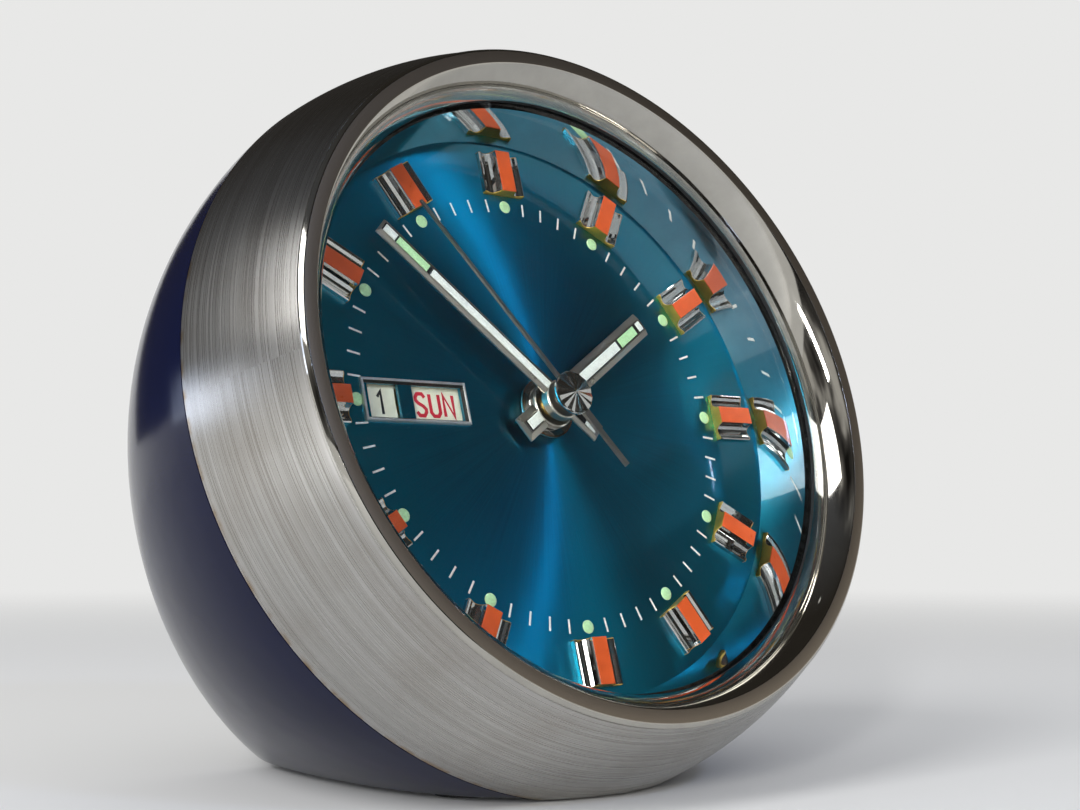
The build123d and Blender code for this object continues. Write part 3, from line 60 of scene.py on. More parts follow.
# ---- sizes of the case, in millimetres; radii are from the dial's axis and heights from its face ----
SEAM_R, SEAM_Z = 57.4, -3.4             # where the barrel ring meets the rear shell
RING_MID = (55.3, 7.0)
RING_FRONT_R = 51.4
RING_WALL = 1.3
RING_CLEAR = 0.4                        # the ring's flat underside stands this far above the table
LIP_Z, LIP_R, LIP_INNER_R = 17.5, 51.1, 48.9
LIP_DEPTH = 0.9                         # how far the lip reaches back to the barrel ring
FUNNEL_MID, FUNNEL_FOOT = (46.6, 14.6), (45.7, 11.9)
SEAT_R, SEAT_OUTER_R, SEAT_BACK_Z = 47.1, 48.0, 8.8
SKIRT_R = 50.0                          # the bezel's back edge, and the mirror ring's flange
CRYSTAL_R, CRYSTAL_LOW, CRYSTAL_HIGH = 47.0, 9.2, 11.2
CRYSTAL_EDGE = 0.2
WALL_R, WALL_TOP_R, WALL_OUTER_R = 44.1, 45.2, 46.8
FLANGE_THICK = 1.0
DIAL_R = 45.5
CASE_STEPS = 360                        # flats round a turned piece of the case


# ---- mesh helpers ----
def polar(radius, degrees_, z=0.0):
    """A point at this radius and angle from 3 o'clock, in degrees towards 12."""
    return (radius * cos(radians(degrees_)), radius * sin(radians(degrees_)), z)


def finish_mesh(name, bm, material, smooth_angle=35.0, place=DIAL):
    """Turns a bmesh into an object at the origin, laid on the model, with smooth faces up to smooth_angle."""
    bmesh.ops.remove_doubles(bm, verts=bm.verts, dist=1e-5)
    bmesh.ops.recalc_face_normals(bm, faces=bm.faces)
    mesh = bpy.data.meshes.new(name)
    bm.to_mesh(mesh)
    bm.free()
    mesh.transform(place)
    mesh.materials.append(material)
    obj = bpy.data.objects.new(name, mesh)
    bpy.context.scene.collection.objects.link(obj)
    if smooth_angle:
        mesh.shade_smooth()
        with bpy.context.temp_override(object=obj, active_object=obj, selected_editable_objects=[obj]):
            bpy.ops.object.shade_smooth_by_angle(angle=radians(smooth_angle))
    return obj


def lathe(profile, steps=CASE_STEPS, closed=True):
    """A bmesh turned about the dial's axis from (radius, height) points; one on the axis becomes a pole."""
    bm = bmesh.new()
    rings = []
    for radius, height in profile:
        if radius == 0:
            rings.append([bm.verts.new((0, 0, height))])
        else:
            rings.append([bm.verts.new(polar(radius, 360 * i / steps, height)) for i in range(steps)])
    pairs = list(zip(rings, rings[1:]))
    if closed:
        pairs.append((rings[-1], rings[0]))
    for a, b in pairs:
        for i in range(steps):
            j = (i + 1) % steps
            corners = [a[i % len(a)], a[j % len(a)], b[j % len(b)], b[i % len(b)]]
            unique = [v for k, v in enumerate(corners) if v not in corners[:k]]
            if len(unique) > 2:
                bm.faces.new(unique)
    return bm


def arc_through(a, b, c, count):
    """Points on the circle through three (radius, height) points, from a to c."""
    ax, ay, bx, by, cx, cy = *a, *b, *c
    sa, sb, sc = ax * ax + ay * ay, bx * bx + by * by, cx * cx + cy * cy
    double_area = 2 * (ax * (by - cy) + bx * (cy - ay) + cx * (ay - by))
    ux = (sa * (by - cy) + sb * (cy - ay) + sc * (ay - by)) / double_area
    uy = (sa * (cx - bx) + sb * (ax - cx) + sc * (bx - ax)) / double_area
    r = hypot(ax - ux, ay - uy)
    start, mid, end = (atan2(p[1] - uy, p[0] - ux) for p in (a, b, c))
    while mid < start:
        mid += 2 * pi
    while end < start:
        end += 2 * pi
    if mid > end:
        end -= 2 * pi
    turns = [start + (end - start) * i / (count - 1) for i in range(count)]
    return [(ux + r * cos(turn), uy + r * sin(turn)) for turn in turns]


def cut_level(bm, height):
    """Cuts off everything lower than this height above the table, and closes the cut."""
    back = DIAL.inverted()
    point = back @ Vector((0, 0, height * MM))
    normal = (back.to_3x3() @ Vector((0, 0, 1))).normalized()
    geom = bm.verts[:] + bm.edges[:] + bm.faces[:]
    cut = bmesh.ops.bisect_plane(bm, geom=geom, plane_co=point, plane_no=-normal, clear_outer=True)
    edges = [e for e in cut["geom_cut"] if isinstance(e, bmesh.types.BMEdge)]
    bmesh.ops.holes_fill(bm, edges=edges, sides=0)


def join_loops(bm, loops):
    """Four-sided walls from each loop of corners to the next."""
    for a, b in zip(loops, loops[1:]):
        for i in range(len(a)):
            j = (i + 1) % len(a)
            bm.faces.new((a[i], a[j], b[j], b[i]))


def nested_bar(levels):
    """A bar along +Y from nested rectangles, each (half width, from, to, height), closed at both ends."""
    bm = bmesh.new()
    loops = []
    for half, low, high, z in levels:
        corners = ((-half, low, z), (half, low, z), (half, high, z), (-half, high, z))
        loops.append([bm.verts.new(corner) for corner in corners])
    join_loops(bm, loops)
    bm.faces.new(loops[0][::-1])
    bm.faces.new(loops[-1])
    return bm


def turned(bm, clockwise):
    """The bmesh itself, turned clockwise from 12 o'clock by this many degrees."""
    bmesh.ops.rotate(bm, verts=bm.verts, matrix=Matrix.Rotation(-radians(clockwise), 3, "Z"))
    return bm


def joined(*parts):
    """One bmesh from several."""
    whole = bmesh.new()
    for part in parts:
        mesh = bpy.data.meshes.new("part")
        part.to_mesh(mesh)
        whole.from_mesh(mesh)
        bpy.data.meshes.remove(mesh)
        part.free()
    return whole


def mirrored(side):
    """A symmetric outline from its right side: its points, then their mirror images in reverse order."""
    return side + [(-x, other) for x, other in side[::-1]]


# ---- material helpers ----
# sockets of a Mix node that blends two numbers, and of one that blends two colours
NUMBER_A, NUMBER_B = 2, 3
COLOUR_A, COLOUR_B, MIXED_COLOUR = 6, 7, 2


def linear(hex_colour):
    """An sRGB hex colour as linear RGBA."""
    parts = [int(hex_colour[i:i + 2], 16) / 255 for i in (1, 3, 5)]
    return tuple(c / 12.92 if c <= 0.04045 else ((c + 0.055) / 1.055) ** 2.4 for c in parts) + (1.0,)


def shaded(colour, factor):
    """A linear colour made this many times as bright, white at the most."""
    return tuple(min(1.0, c * factor) for c in colour[:3]) + (1.0,)


def add(tree, kind, inputs=None, stops=(), **settings):
    """Adds a node with its settings and links.

    Inputs are keyed by socket name or number; each is a value, a socket, or a node, which stands for its
    first output. Stops are a colour ramp's (position, colour or grey) pairs. Settings are its properties.
    """
    node = tree.nodes.new(kind)
    for key, value in settings.items():
        setattr(node, key, value)
    for key, value in (inputs or {}).items():
        if isinstance(value, bpy.types.Node):
            value = value.outputs[0]
        if isinstance(value, bpy.types.NodeSocket):
            tree.links.new(value, node.inputs[key])
        else:
            node.inputs[key].default_value = value
    for i, (position, colour) in enumerate(stops):
        elements = node.color_ramp.elements
        element = elements[i] if i < len(elements) else elements.new(1.0)
        element.position = position
        element.color = colour if isinstance(colour, tuple) else (colour, colour, colour, 1.0)
    return node


def new_material(name):
    """An empty material and its node tree."""
    material = bpy.data.materials.new(name)
    material.use_nodes = True
    material.node_tree.nodes.clear()
    return material, material.node_tree


def dial_position(tree):
    """Object coordinates turned into the dial's frame, in millimetres."""
    back = DIAL_TURN.transposed()
    place = add(tree, "ShaderNodeTexCoord").outputs["Object"]
    return add(tree, "ShaderNodeMapping", {"Vector": place, "Location": tuple(-(back @ DIAL_CENTRE) / MM),
                                           "Rotation": back.to_euler(), "Scale": (1 / MM,) * 3})


def round_tangent(tree):
    """The direction around the dial's axis, for metal that was turned or brushed in circles."""
    place = add(tree, "ShaderNodeTexCoord").outputs["Object"]
    arm = add(tree, "ShaderNodeVectorMath", {0: place, 1: tuple(DIAL_CENTRE)}, operation="SUBTRACT")
    side = add(tree, "ShaderNodeVectorMath", {0: tuple(DIAL_OUT), 1: arm}, operation="CROSS_PRODUCT")
    return add(tree, "ShaderNodeVectorMath", {0: side}, operation="NORMALIZE")


def polar_parts(tree, position):
    """Angle in radians, radius and height of a position in the dial's frame."""
    xyz = add(tree, "ShaderNodeSeparateXYZ", {0: position})
    x, y, height = xyz.outputs
    angle = add(tree, "ShaderNodeMath", {0: y, 1: x}, operation="ARCTAN2")
    flat = add(tree, "ShaderNodeCombineXYZ", {0: x, 1: y})
    radius = add(tree, "ShaderNodeVectorMath", {0: flat}, operation="LENGTH").outputs["Value"]
    return angle, radius, height


# ---- materials ----
def brushed_stainless_steel():
    """Stainless steel, brushed round the barrel.

    To the eye: fine scratches round the case, broad bright bands across them, and a few dull stains. Along
    the seam the edge is worn to a thin brassy line.
    """
    material, tree = new_material("brushed_stainless_steel")
    position = dial_position(tree)
    angle, _, height = polar_parts(tree, position)
    along_barrel = add(tree, "ShaderNodeCombineXYZ", {0: angle, 1: height})
    # scratches about 0.15 mm wide and 60 mm long, twice as coarse as the real grit's so that they show: 0.9
    # to a radian round the barrel and 6.5 to a millimetre across it; the bands are five times as wide
    scratches_at = add(tree, "ShaderNodeVectorMath", {0: along_barrel, 1: (0.9, 6.5, 0)},
                       operation="MULTIPLY")
    bands_at = add(tree, "ShaderNodeVectorMath", {0: along_barrel, 1: (0.12, 1.3, 0)}, operation="MULTIPLY")
    scratches = add(tree, "ShaderNodeTexNoise",
                    {"Vector": scratches_at, "Scale": 1.0, "Detail": 2.0, "Roughness": 0.6})
    bands = add(tree, "ShaderNodeTexNoise", {"Vector": bands_at, "Scale": 1.0, "Detail": 2.0})
    half_bands = add(tree, "ShaderNodeMath", {0: bands, 1: 0.5}, operation="MULTIPLY")
    both = add(tree, "ShaderNodeMath", {0: scratches, 1: half_bands}, operation="ADD")
    steel = add(tree, "ShaderNodeValToRGB", {0: both},
                ((0.5, linear("#9B9893")), (0.75, linear("#AEACA8")), (1.0, linear("#BDBBB8"))))
    # stains 10 mm across
    stains = add(tree, "ShaderNodeTexNoise", {"Vector": position, "Scale": 0.09, "Detail": 4.0})
    stained = add(tree, "ShaderNodeValToRGB", {0: stains}, ((0.45, 0.0), (0.65, 0.25)))
    steel = add(tree, "ShaderNodeMix", {0: stained, COLOUR_A: steel, COLOUR_B: linear("#8F877E")},
                data_type="RGBA").outputs[MIXED_COLOUR]
    # wear 1.6 mm wide along the seam, broken up every 3 mm or so
    from_seam = add(tree, "ShaderNodeMapRange", {0: height, 1: SEAM_Z, 2: SEAM_Z + 1.6})
    seam = add(tree, "ShaderNodeValToRGB", {0: from_seam}, ((0.0, 1.0), (0.25, 0.55), (0.6, 0.0)))
    patches = add(tree, "ShaderNodeTexNoise", {"Vector": position, "Scale": 0.35, "Detail": 4.0})
    patchy = add(tree, "ShaderNodeValToRGB", {0: patches}, ((0.45, 0.0), (0.6, 0.8)))
    wear = add(tree, "ShaderNodeMath", {0: seam, 1: patchy}, operation="MULTIPLY")
    worn = add(tree, "ShaderNodeMix", {0: wear, COLOUR_A: steel, COLOUR_B: linear("#8A6C3C")},
               data_type="RGBA").outputs[MIXED_COLOUR]
    rough = add(tree, "ShaderNodeValToRGB", {0: scratches}, ((0.3, 0.24), (0.7, 0.33)))
    # grooves 0.04 mm deep
    grooves = add(tree, "ShaderNodeBump", {"Height": scratches, "Strength": 0.12, "Distance": 0.04 * MM})
    across = add(tree, "ShaderNodeCombineXYZ", {0: DIAL_OUT.x, 1: DIAL_OUT.y, 2: DIAL_OUT.z})
    shader = add(tree, "ShaderNodeBsdfPrincipled",
                 {"Base Color": worn, "Metallic": 1.0, "Roughness": rough, "Anisotropic": 0.85,
                  "Tangent": across, "Normal": grooves})
    add(tree, "ShaderNodeOutputMaterial", {"Surface": shader})
    return material


def buffed_metal(name, colour, roughness, satin_from=None):
    """Buffed or plated metal: a clear mirror, with polishing haze that shows as soft patches 5 mm across.

    Above the height satin_from the metal is ground rather than buffed and reflects softly; there it is also
    painted brownish grey, a painted reflection of the warm room.
    """
    material, tree = new_material(name)
    position = dial_position(tree)
    haze = add(tree, "ShaderNodeTexNoise",
               {"Vector": position, "Scale": 0.22, "Detail": 5.0, "Roughness": 0.6})
    gloss = add(tree, "ShaderNodeValToRGB", {0: haze}, ((0.35, roughness[0]), (0.7, roughness[1])))
    tint = add(tree, "ShaderNodeMix",
               {0: haze, COLOUR_A: linear(colour), COLOUR_B: shaded(linear(colour), 0.72)},
               data_type="RGBA").outputs[MIXED_COLOUR]
    if satin_from is not None:
        height = add(tree, "ShaderNodeSeparateXYZ", {0: position}).outputs[2]
        above = add(tree, "ShaderNodeMapRange", {0: height, 1: satin_from, 2: satin_from + 0.02})
        gloss = add(tree, "ShaderNodeMix", {0: above, NUMBER_A: gloss, NUMBER_B: 0.45})
        # painted reflection: the ground face is tinted brownish grey for the warm room that it reflects
        tint = add(tree, "ShaderNodeMix", {0: above, COLOUR_A: tint, COLOUR_B: linear("#8E8272")},
                   data_type="RGBA").outputs[MIXED_COLOUR]
    # the buffing wheel leaves waves about 8 mm long
    waves = add(tree, "ShaderNodeTexNoise", {"Vector": position, "Scale": 0.12, "Detail": 1.0})
    ripple = add(tree, "ShaderNodeBump", {"Height": waves, "Strength": 0.06, "Distance": 0.4 * MM})
    shader = add(tree, "ShaderNodeBsdfPrincipled",
                 {"Base Color": tint, "Metallic": 1.0, "Roughness": gloss, "Normal": ripple})
    add(tree, "ShaderNodeOutputMaterial", {"Surface": shader})
    return material


def sunray_lacquer():
    """Clear blue lacquer over a brass dial that is grained from the centre out.

    To the eye: deep teal, with two bright blue fans of light from the centre out, under a clear gloss.
    """
    material, tree = new_material("sunray_blue_lacquer")
    angle, radius, _ = polar_parts(tree, dial_position(tree))
    # grain lines about 0.15 mm wide at the minute track, which is 220 to a radian, and 30 mm long
    round_and_out = add(tree, "ShaderNodeCombineXYZ", {0: angle, 1: radius})
    grain_at = add(tree, "ShaderNodeVectorMath", {0: round_and_out, 1: (220.0, 0.03, 0)},
                   operation="MULTIPLY")
    grain = add(tree, "ShaderNodeTexNoise",
                {"Vector": grain_at, "Scale": 1.0, "Detail": 4.0, "Roughness": 0.6})
    middle = add(tree, "ShaderNodeValToRGB", {0: grain},
                 ((0.3, linear("#006C8C")), (0.7, linear("#007A9C"))))
    # painted light: the dial grows brighter and greener towards the rim, standing in for light that the
    # mirror wall throws back onto its edge
    from_middle = add(tree, "ShaderNodeMapRange", {0: radius, 1: 20.0, 2: DIAL_R})
    rim = add(tree, "ShaderNodeValToRGB", {0: from_middle}, ((0.0, 0.0), (1.0, 0.5)))
    colour = add(tree, "ShaderNodeMix", {0: rim, COLOUR_A: middle, COLOUR_B: linear("#0092A8")},
                 data_type="RGBA").outputs[MIXED_COLOUR]
    rough = add(tree, "ShaderNodeValToRGB", {0: grain}, ((0.3, 0.275), (0.7, 0.325)))
    shader = add(tree, "ShaderNodeBsdfPrincipled",
                 {"Base Color": colour, "Metallic": 1.0, "Roughness": rough, "Anisotropic": 0.97,
                  "Tangent": round_tangent(tree), "Coat Weight": 1.0, "Coat Roughness": 0.03})
    add(tree, "ShaderNodeOutputMaterial", {"Surface": shader})
    return material


def mineral_glass():
    """Flat mineral glass, polished: clear, with a reflection that grows as it is seen more from the side.

    Lamps shine straight through it, so that the dial behind it is lit.
    """
    material, tree = new_material("mineral_glass")
    glass = add(tree, "ShaderNodeBsdfPrincipled",
                {"Base Color": linear("#FBFDFC"), "Transmission Weight": 1.0, "Roughness": 0.0, "IOR": 1.5})
    clear = add(tree, "ShaderNodeBsdfTransparent", {"Color": linear("#F4F8F6")})
    lamp_ray = add(tree, "ShaderNodeLightPath").outputs["Is Shadow Ray"]
    mixed = add(tree, "ShaderNodeMixShader", {0: lamp_ray, 1: glass, 2: clear})
    add(tree, "ShaderNodeOutputMaterial", {"Surface": mixed})
    return material


def plain(name, colour, metallic=0.0, roughness=0.4, variation=0.12, scale=0.6, bump=0.0, specular=0.5):
    """A finish with soft patches of colour and gloss; scale is how many there are to a millimetre.

    Where bump is given, the patches also stand up to 0.05 mm high.
    """
    material, tree = new_material(name)
    position = dial_position(tree)
    patches = add(tree, "ShaderNodeTexNoise", {"Vector": position, "Scale": scale, "Detail": 4.0})
    dark, light = (shaded(linear(colour), factor) for factor in (1 - variation, 1 + variation))
    tint = add(tree, "ShaderNodeValToRGB", {0: patches}, ((0.3, dark), (0.7, light)))
    gloss = add(tree, "ShaderNodeValToRGB", {0: patches},
                ((0.3, roughness * 0.85), (0.7, roughness * 1.15)))
    inputs = {"Base Color": tint, "Metallic": metallic, "Roughness": gloss, "Specular IOR Level": specular}
    if bump:
        inputs["Normal"] = add(tree, "ShaderNodeBump",
                               {"Height": patches, "Strength": bump, "Distance": 0.05 * MM})
    add(tree, "ShaderNodeOutputMaterial", {"Surface": add(tree, "ShaderNodeBsdfPrincipled", inputs)})
    return material


STEEL_BRUSHED = brushed_stainless_steel()
# the bezel: buffed in the funnel, ground to a soft finish on its narrow front face, which carries a painted
# reflection of the room as brownish grey
STEEL_POLISHED = buffed_metal("polished_steel", "#BFBCB4", (0.03, 0.09), satin_from=LIP_Z - 0.03)
# the ring inside the crystal: a near perfect mirror that doubles the dial's rim
STEEL_MIRROR = buffed_metal("mirror_polished_steel", "#E4E6E8", (0.015, 0.05))
# plated markers and cap: bright and black by turns, as their facets catch the room
CHROME = buffed_metal("chrome_plate", "#DDDCDA", (0.02, 0.07))
# ground hands: an even grey that brightens slowly as they turn
STEEL_SATIN = plain("satin_steel", "#B4AEA4", metallic=1.0, roughness=0.3, variation=0.05, scale=0.08)
# the window's raised edge: a pale, even line
NICKEL = plain("bright_nickel_edge", "#E2E0DA", metallic=1.0, roughness=0.42, variation=0.04)
DIAL_BLUE = sunray_lacquer()
GLASS = mineral_glass()
# lacquered shell: near black blue, with soft-edged reflections
SHELL_NAVY = plain("navy_gloss_shell", "#060C2C", roughness=0.14, variation=0.1, scale=0.05, specular=0.15)
# moulded rubber: dull black with a fine grain
RUBBER = plain("black_rubber", "#0C0C0D", roughness=0.6, bump=0.1)
# baked enamel on the markers' ridges: strong orange with a soft sheen
ORANGE = plain("orange_enamel", "#DA5620", roughness=0.32, variation=0.08)
# luminous paint: pale green, chalky and slightly lumpy
LUME = plain("luminous_paint", "#B9E0A6", roughness=0.6, bump=0.3, scale=3.0)
# printed or filled white: not quite pure, with a faint texture
WHITE_PAINT = plain("white_dial_paint", "#E9E9DE", roughness=0.45, bump=0.15, scale=3.0)
# black paint in the hands' channels and the window's bevel: reads as a dark outline
BLACK_PAINT = plain("black_paint", "#101010", roughness=0.5)
# sawn ends of the markers, where the plating stops: dull yellow
BRASS_SAWN = plain("bare_brass_ends", "#D0A850", metallic=1.0, roughness=0.5)
# stamped plates and cut wheels: warm yellow with a broad shine
BRASS = plain("cut_brass", "#C9A45A", metallic=1.0, roughness=0.28)
# keys and knobs, polished by handling: clearer reflections than the plates
BRASS_POLISHED = plain("polished_brass", "#C8A868", metallic=1.0, roughness=0.18)
# the alarm hand: thin copper plating, pinkish brown
COPPER = plain("coppered_steel", "#B98A6C", metallic=1.0, roughness=0.2)
# lathe-turned arbors and screws: mid grey, half bright
STEEL_TURNED = plain("turned_steel", "#A8A8AA", metallic=1.0, roughness=0.3)
# springs, tempered blue: dark slate with a metal shine
SPRING_STEEL = plain("blued_spring_steel", "#3E4657", metallic=1.0, roughness=0.28)
# the drawn and tumbled bell: light grey, fairly bright
BELL_STEEL = plain("bell_steel", "#B4B4B6", metallic=1.0, roughness=0.22)
# painted back cover: dark blue grey with a slight orange-peel
COVER_PAINT = plain("satin_cover_paint", "#1B1F2C", roughness=0.42, bump=0.2)
# enamelled calendar discs: flat cream
CREAM = plain("cream_calendar_enamel", "#E4DEC4", roughness=0.42, variation=0.05)
# moulded support ring: plain black, half matt
BLACK_PLASTIC = plain("black_moulded_plastic", "#0D0D0E", roughness=0.45)
# printing inks: flat red and flat black
RED_INK = plain("red_printing_ink", "#C3122B", roughness=0.5)
BLACK_INK = plain("black_printing_ink", "#0B0B0C", roughness=0.5)

NODE_FINISH = {
    STEEL_BRUSHED: "front_ring",
    STEEL_POLISHED: "front_bezel",
    STEEL_MIRROR: "reflector_ring",
    SHELL_NAVY: "rear_shell",
    CHROME: "window_frame hour_markers hour_hand minute_hand seconds_hand seconds_cap",
    GLASS: "crystal",
    RUBBER: "crystal_gasket base_feet",
    COVER_PAINT: "back_cover",
    DIAL_BLUE: "dial_plate",
    STEEL_TURNED: "back_cover_screws case_posts pillar_screws balance_pivot_screws seconds_arbor time_click "
                  "time_arbor cannon_pinion set_arbor alarm_set_arbor alarm_click alarm_arbor hammer "
                  "regulator_lever",
    BRASS: "calendar_plate front_plate rear_plate plate_pillars centre_bridge fourth_wheel third_wheel "
           "centre_wheel time_great_wheel escape_wheel pallet_lever balance_wheel minute_wheel hour_wheel "
           "alarm_wheel alarm_great_wheel hammer_wheel date_driver",
    BRASS_POLISHED: "time_key alarm_key set_knob alarm_set_knob stop_button",
    COPPER: "alarm_hand",
    SPRING_STEEL: "time_mainspring alarm_mainspring hairspring",
    BELL_STEEL: "bell",
    CREAM: "date_ring day_disc",
    BLACK_PLASTIC: "dial_support_ring",
}


def finish_cad_nodes():
    """Gives every CAD node its material."""
    for material, names in NODE_FINISH.items():
        for name in names.split():
            node = frame["nodes"][name]
            node.data.materials.clear()
            node.data.materials.append(material)


def rides(obj, body, slot, *nodes):
    """Puts a piece on its body and hides the CAD nodes that it stands for; the slot is not used."""
    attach(obj, body)
    if nodes:
        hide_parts(*nodes)


# ---- case pieces ----
def barrel_ring():
    """The brushed front of the case: a bulged wall, cut flat where it comes down to the table."""
    front_z = LIP_Z - LIP_DEPTH
    outer = arc_through((SEAM_R, SEAM_Z), RING_MID, (RING_FRONT_R, front_z), 40)
    inner = arc_through((SEAM_R - RING_WALL, SEAM_Z), (RING_MID[0] - RING_WALL, RING_MID[1]),
                        (RING_FRONT_R - RING_WALL, front_z), 12)
    wall = lathe(outer + inner[::-1])
    cut_level(wall, RING_CLEAR)
    rides(finish_mesh("barrel_ring", wall, STEEL_BRUSHED), "case", "brushed_steel_ring", "front_ring")


def bezel():
    """The polished lip with broken edges, the funnel that falls to the crystal, and the seat behind it."""
    front_z = LIP_Z - LIP_DEPTH
    edge_r = RING_FRONT_R - 0.02
    lip = [(edge_r, front_z), (edge_r, LIP_Z - 0.55), (LIP_R, LIP_Z - 0.2), (LIP_R - 0.15, LIP_Z - 0.05),
           (LIP_R - 0.4, LIP_Z), (LIP_INNER_R + 0.25, LIP_Z), (LIP_INNER_R + 0.08, LIP_Z - 0.01)]
    funnel = arc_through((LIP_INNER_R, LIP_Z - 0.05), FUNNEL_MID, FUNNEL_FOOT, 24)
    foot_z = FUNNEL_FOOT[1] - 0.1
    seat = [(FUNNEL_FOOT[0], foot_z), (SEAT_R, foot_z), (SEAT_R, SEAT_BACK_Z), (SEAT_OUTER_R, SEAT_BACK_Z)]
    skirt = [(SEAT_OUTER_R, 12.8), (SKIRT_R, 15.3), (SKIRT_R, front_z)]
    obj = finish_mesh("bezel_lip", lathe(lip + funnel + seat + skirt), STEEL_POLISHED, 20)
    rides(obj, "case", "polished_steel", "front_bezel")


def mirror_wall():
    """The ring between the dial and the crystal, whose inner wall leans outward and mirrors the dial."""
    wall = [(WALL_R + 0.3, 0.02), (WALL_R, 0.35), (WALL_TOP_R, CRYSTAL_LOW), (WALL_OUTER_R, CRYSTAL_LOW)]
    flange = [(WALL_OUTER_R, FLANGE_THICK), (SKIRT_R, FLANGE_THICK), (SKIRT_R, 0.0)]
    obj = finish_mesh("mirror_wall", lathe(wall + flange), STEEL_MIRROR, 20)
    rides(obj, "case", "mirror_steel", "reflector_ring")


def crystal():
    """The flat glass, with its edges broken."""
    inner_r = CRYSTAL_R - CRYSTAL_EDGE
    profile = [(0, CRYSTAL_LOW), (inner_r, CRYSTAL_LOW), (CRYSTAL_R, CRYSTAL_LOW + CRYSTAL_EDGE),
               (CRYSTAL_R, CRYSTAL_HIGH - CRYSTAL_EDGE), (inner_r, CRYSTAL_HIGH), (0, CRYSTAL_HIGH)]
    obj = finish_mesh("crystal_disc", lathe(profile, 256, closed=False), GLASS, 20)
    rides(obj, "case", "crystal_glass", "crystal")


# ---- repeated dial pieces ----
HOURS, MINUTES = 12, 60
MARKER_IN, MARKER_OUT, MARKER_HEIGHT = 35.3, 42.2, 1.9
MARKER_BEVEL = 0.12
RIDGE_HALF = 1.35
# the marker's right side in section, from its foot over the rim and the hollow flank to the ridge
MARKER_SIDE = [(3.8, 0.0), (3.8, 0.72), (3.62, 0.82), (3.3, 0.74), (2.9, 0.52), (2.45, 0.42), (2.05, 0.5),
               (1.7, 0.85), (1.45, 1.4), (RIDGE_HALF, MARKER_HEIGHT)]
TRACK_R = 33.4                  # the ring of luminous dots and minute strokes
DOT_R, DOT_HEIGHT = 1.0, 0.2
STROKE_LENGTH, STROKE_WIDTH = 2.1, 0.3


def around_dial(name, shape, count, material, leave_out=0):
    """Copies a shape round the dial with Geometry Nodes.

    Where leave_out is given, the first place and every leave_out-th from there stay empty.
    """
    tree = bpy.data.node_groups.new("around_" + name, "GeometryNodeTree")
    tree.interface.new_socket("Geometry", in_out="INPUT", socket_type="NodeSocketGeometry")
    tree.interface.new_socket("Geometry", in_out="OUTPUT", socket_type="NodeSocketGeometry")
    sizes = {"Count": count, "Leave out every": leave_out}
    sockets = {label: tree.interface.new_socket(label, in_out="INPUT", socket_type="NodeSocketInt")
               for label in sizes}
    group = add(tree, "NodeGroupInput")
    every = group.outputs["Leave out every"]
    index = add(tree, "GeometryNodeInputIndex")
    step = add(tree, "ShaderNodeMath", {0: 2 * pi, 1: group.outputs["Count"]}, operation="DIVIDE")
    turn = add(tree, "ShaderNodeMath", {0: index, 1: step}, operation="MULTIPLY")
    points = add(tree, "GeometryNodePoints", {"Count": group.outputs["Count"]})
    # the turn is stored before points are dropped, because dropping renumbers them
    stored = add(tree, "GeometryNodeStoreNamedAttribute",
                 {"Geometry": points, "Name": "turn", "Value": turn}, data_type="FLOAT", domain="POINT")
    left = add(tree, "ShaderNodeMath", {0: index, 1: every}, operation="MODULO")
    on_place = add(tree, "FunctionNodeCompare", {"A": left, "B": 0.0, "Epsilon": 0.1},
                   data_type="FLOAT", operation="EQUAL")
    given = add(tree, "ShaderNodeMath", {0: every, 1: 0.5}, operation="GREATER_THAN")
    dropped = add(tree, "FunctionNodeBooleanMath", {0: on_place, 1: given}, operation="AND")
    kept = add(tree, "GeometryNodeDeleteGeometry", {"Geometry": stored, "Selection": dropped},
               domain="POINT")
    stored_turn = add(tree, "GeometryNodeInputNamedAttribute", {"Name": "turn"}, data_type="FLOAT")
    spin = add(tree, "ShaderNodeCombineXYZ", {2: stored_turn})
    copies = add(tree, "GeometryNodeInstanceOnPoints",
                 {"Points": kept, "Instance": group.outputs["Geometry"], "Rotation": spin})
    solid = add(tree, "GeometryNodeRealizeInstances", {"Geometry": copies})
    painted = add(tree, "GeometryNodeSetMaterial", {"Geometry": solid, "Material": material})
    add(tree, "NodeGroupOutput", {0: painted})

    single = finish_mesh(name + "_one", shape, material, 0, Matrix.Identity(4))
    modifier = single.modifiers.new("around", "NODES")
    modifier.node_group = tree
    for label, size in sizes.items():
        modifier[sockets[label].identifier] = size
    bpy.context.view_layer.update()
    whole = bpy.data.meshes.new_from_object(single.evaluated_get(bpy.context.evaluated_depsgraph_get()))
    single.modifiers.remove(modifier)
    bpy.data.objects.remove(single)
    whole.transform(DIAL)
    whole.name = name
    obj = bpy.data.objects.new(name, whole)
    bpy.context.scene.collection.objects.link(obj)
    return obj


def marker_body():
    """The plated part of an hour marker: raised rims, hollowed flanks and a flat-topped ridge."""
    bm = bmesh.new()
    section = mirrored(MARKER_SIDE)
    near, far = ([bm.verts.new((x, y, z)) for x, z in section]
                 for y in (MARKER_IN + MARKER_BEVEL, MARKER_OUT - MARKER_BEVEL))
    for i in range(len(section) - 1):
        bm.faces.new((near[i], near[i + 1], far[i + 1], far[i]))
    return bm


def marker_ends():
    """The two bevelled end faces of a marker, where the plating stops at the sawn brass."""
    bm = bmesh.new()
    section = mirrored(MARKER_SIDE)
    for y, bevel in ((MARKER_IN, MARKER_BEVEL), (MARKER_OUT, -MARKER_BEVEL)):
        outer = [bm.verts.new((x, y + bevel, z)) for x, z in section]
        inner = [bm.verts.new((x * 0.985, y, max(0, z - MARKER_BEVEL / 2))) for x, z in section]
        for i in range(len(section) - 1):
            bm.faces.new((outer[i], outer[i + 1], inner[i + 1], inner[i]))
        bm.faces.new(inner)
    return bm


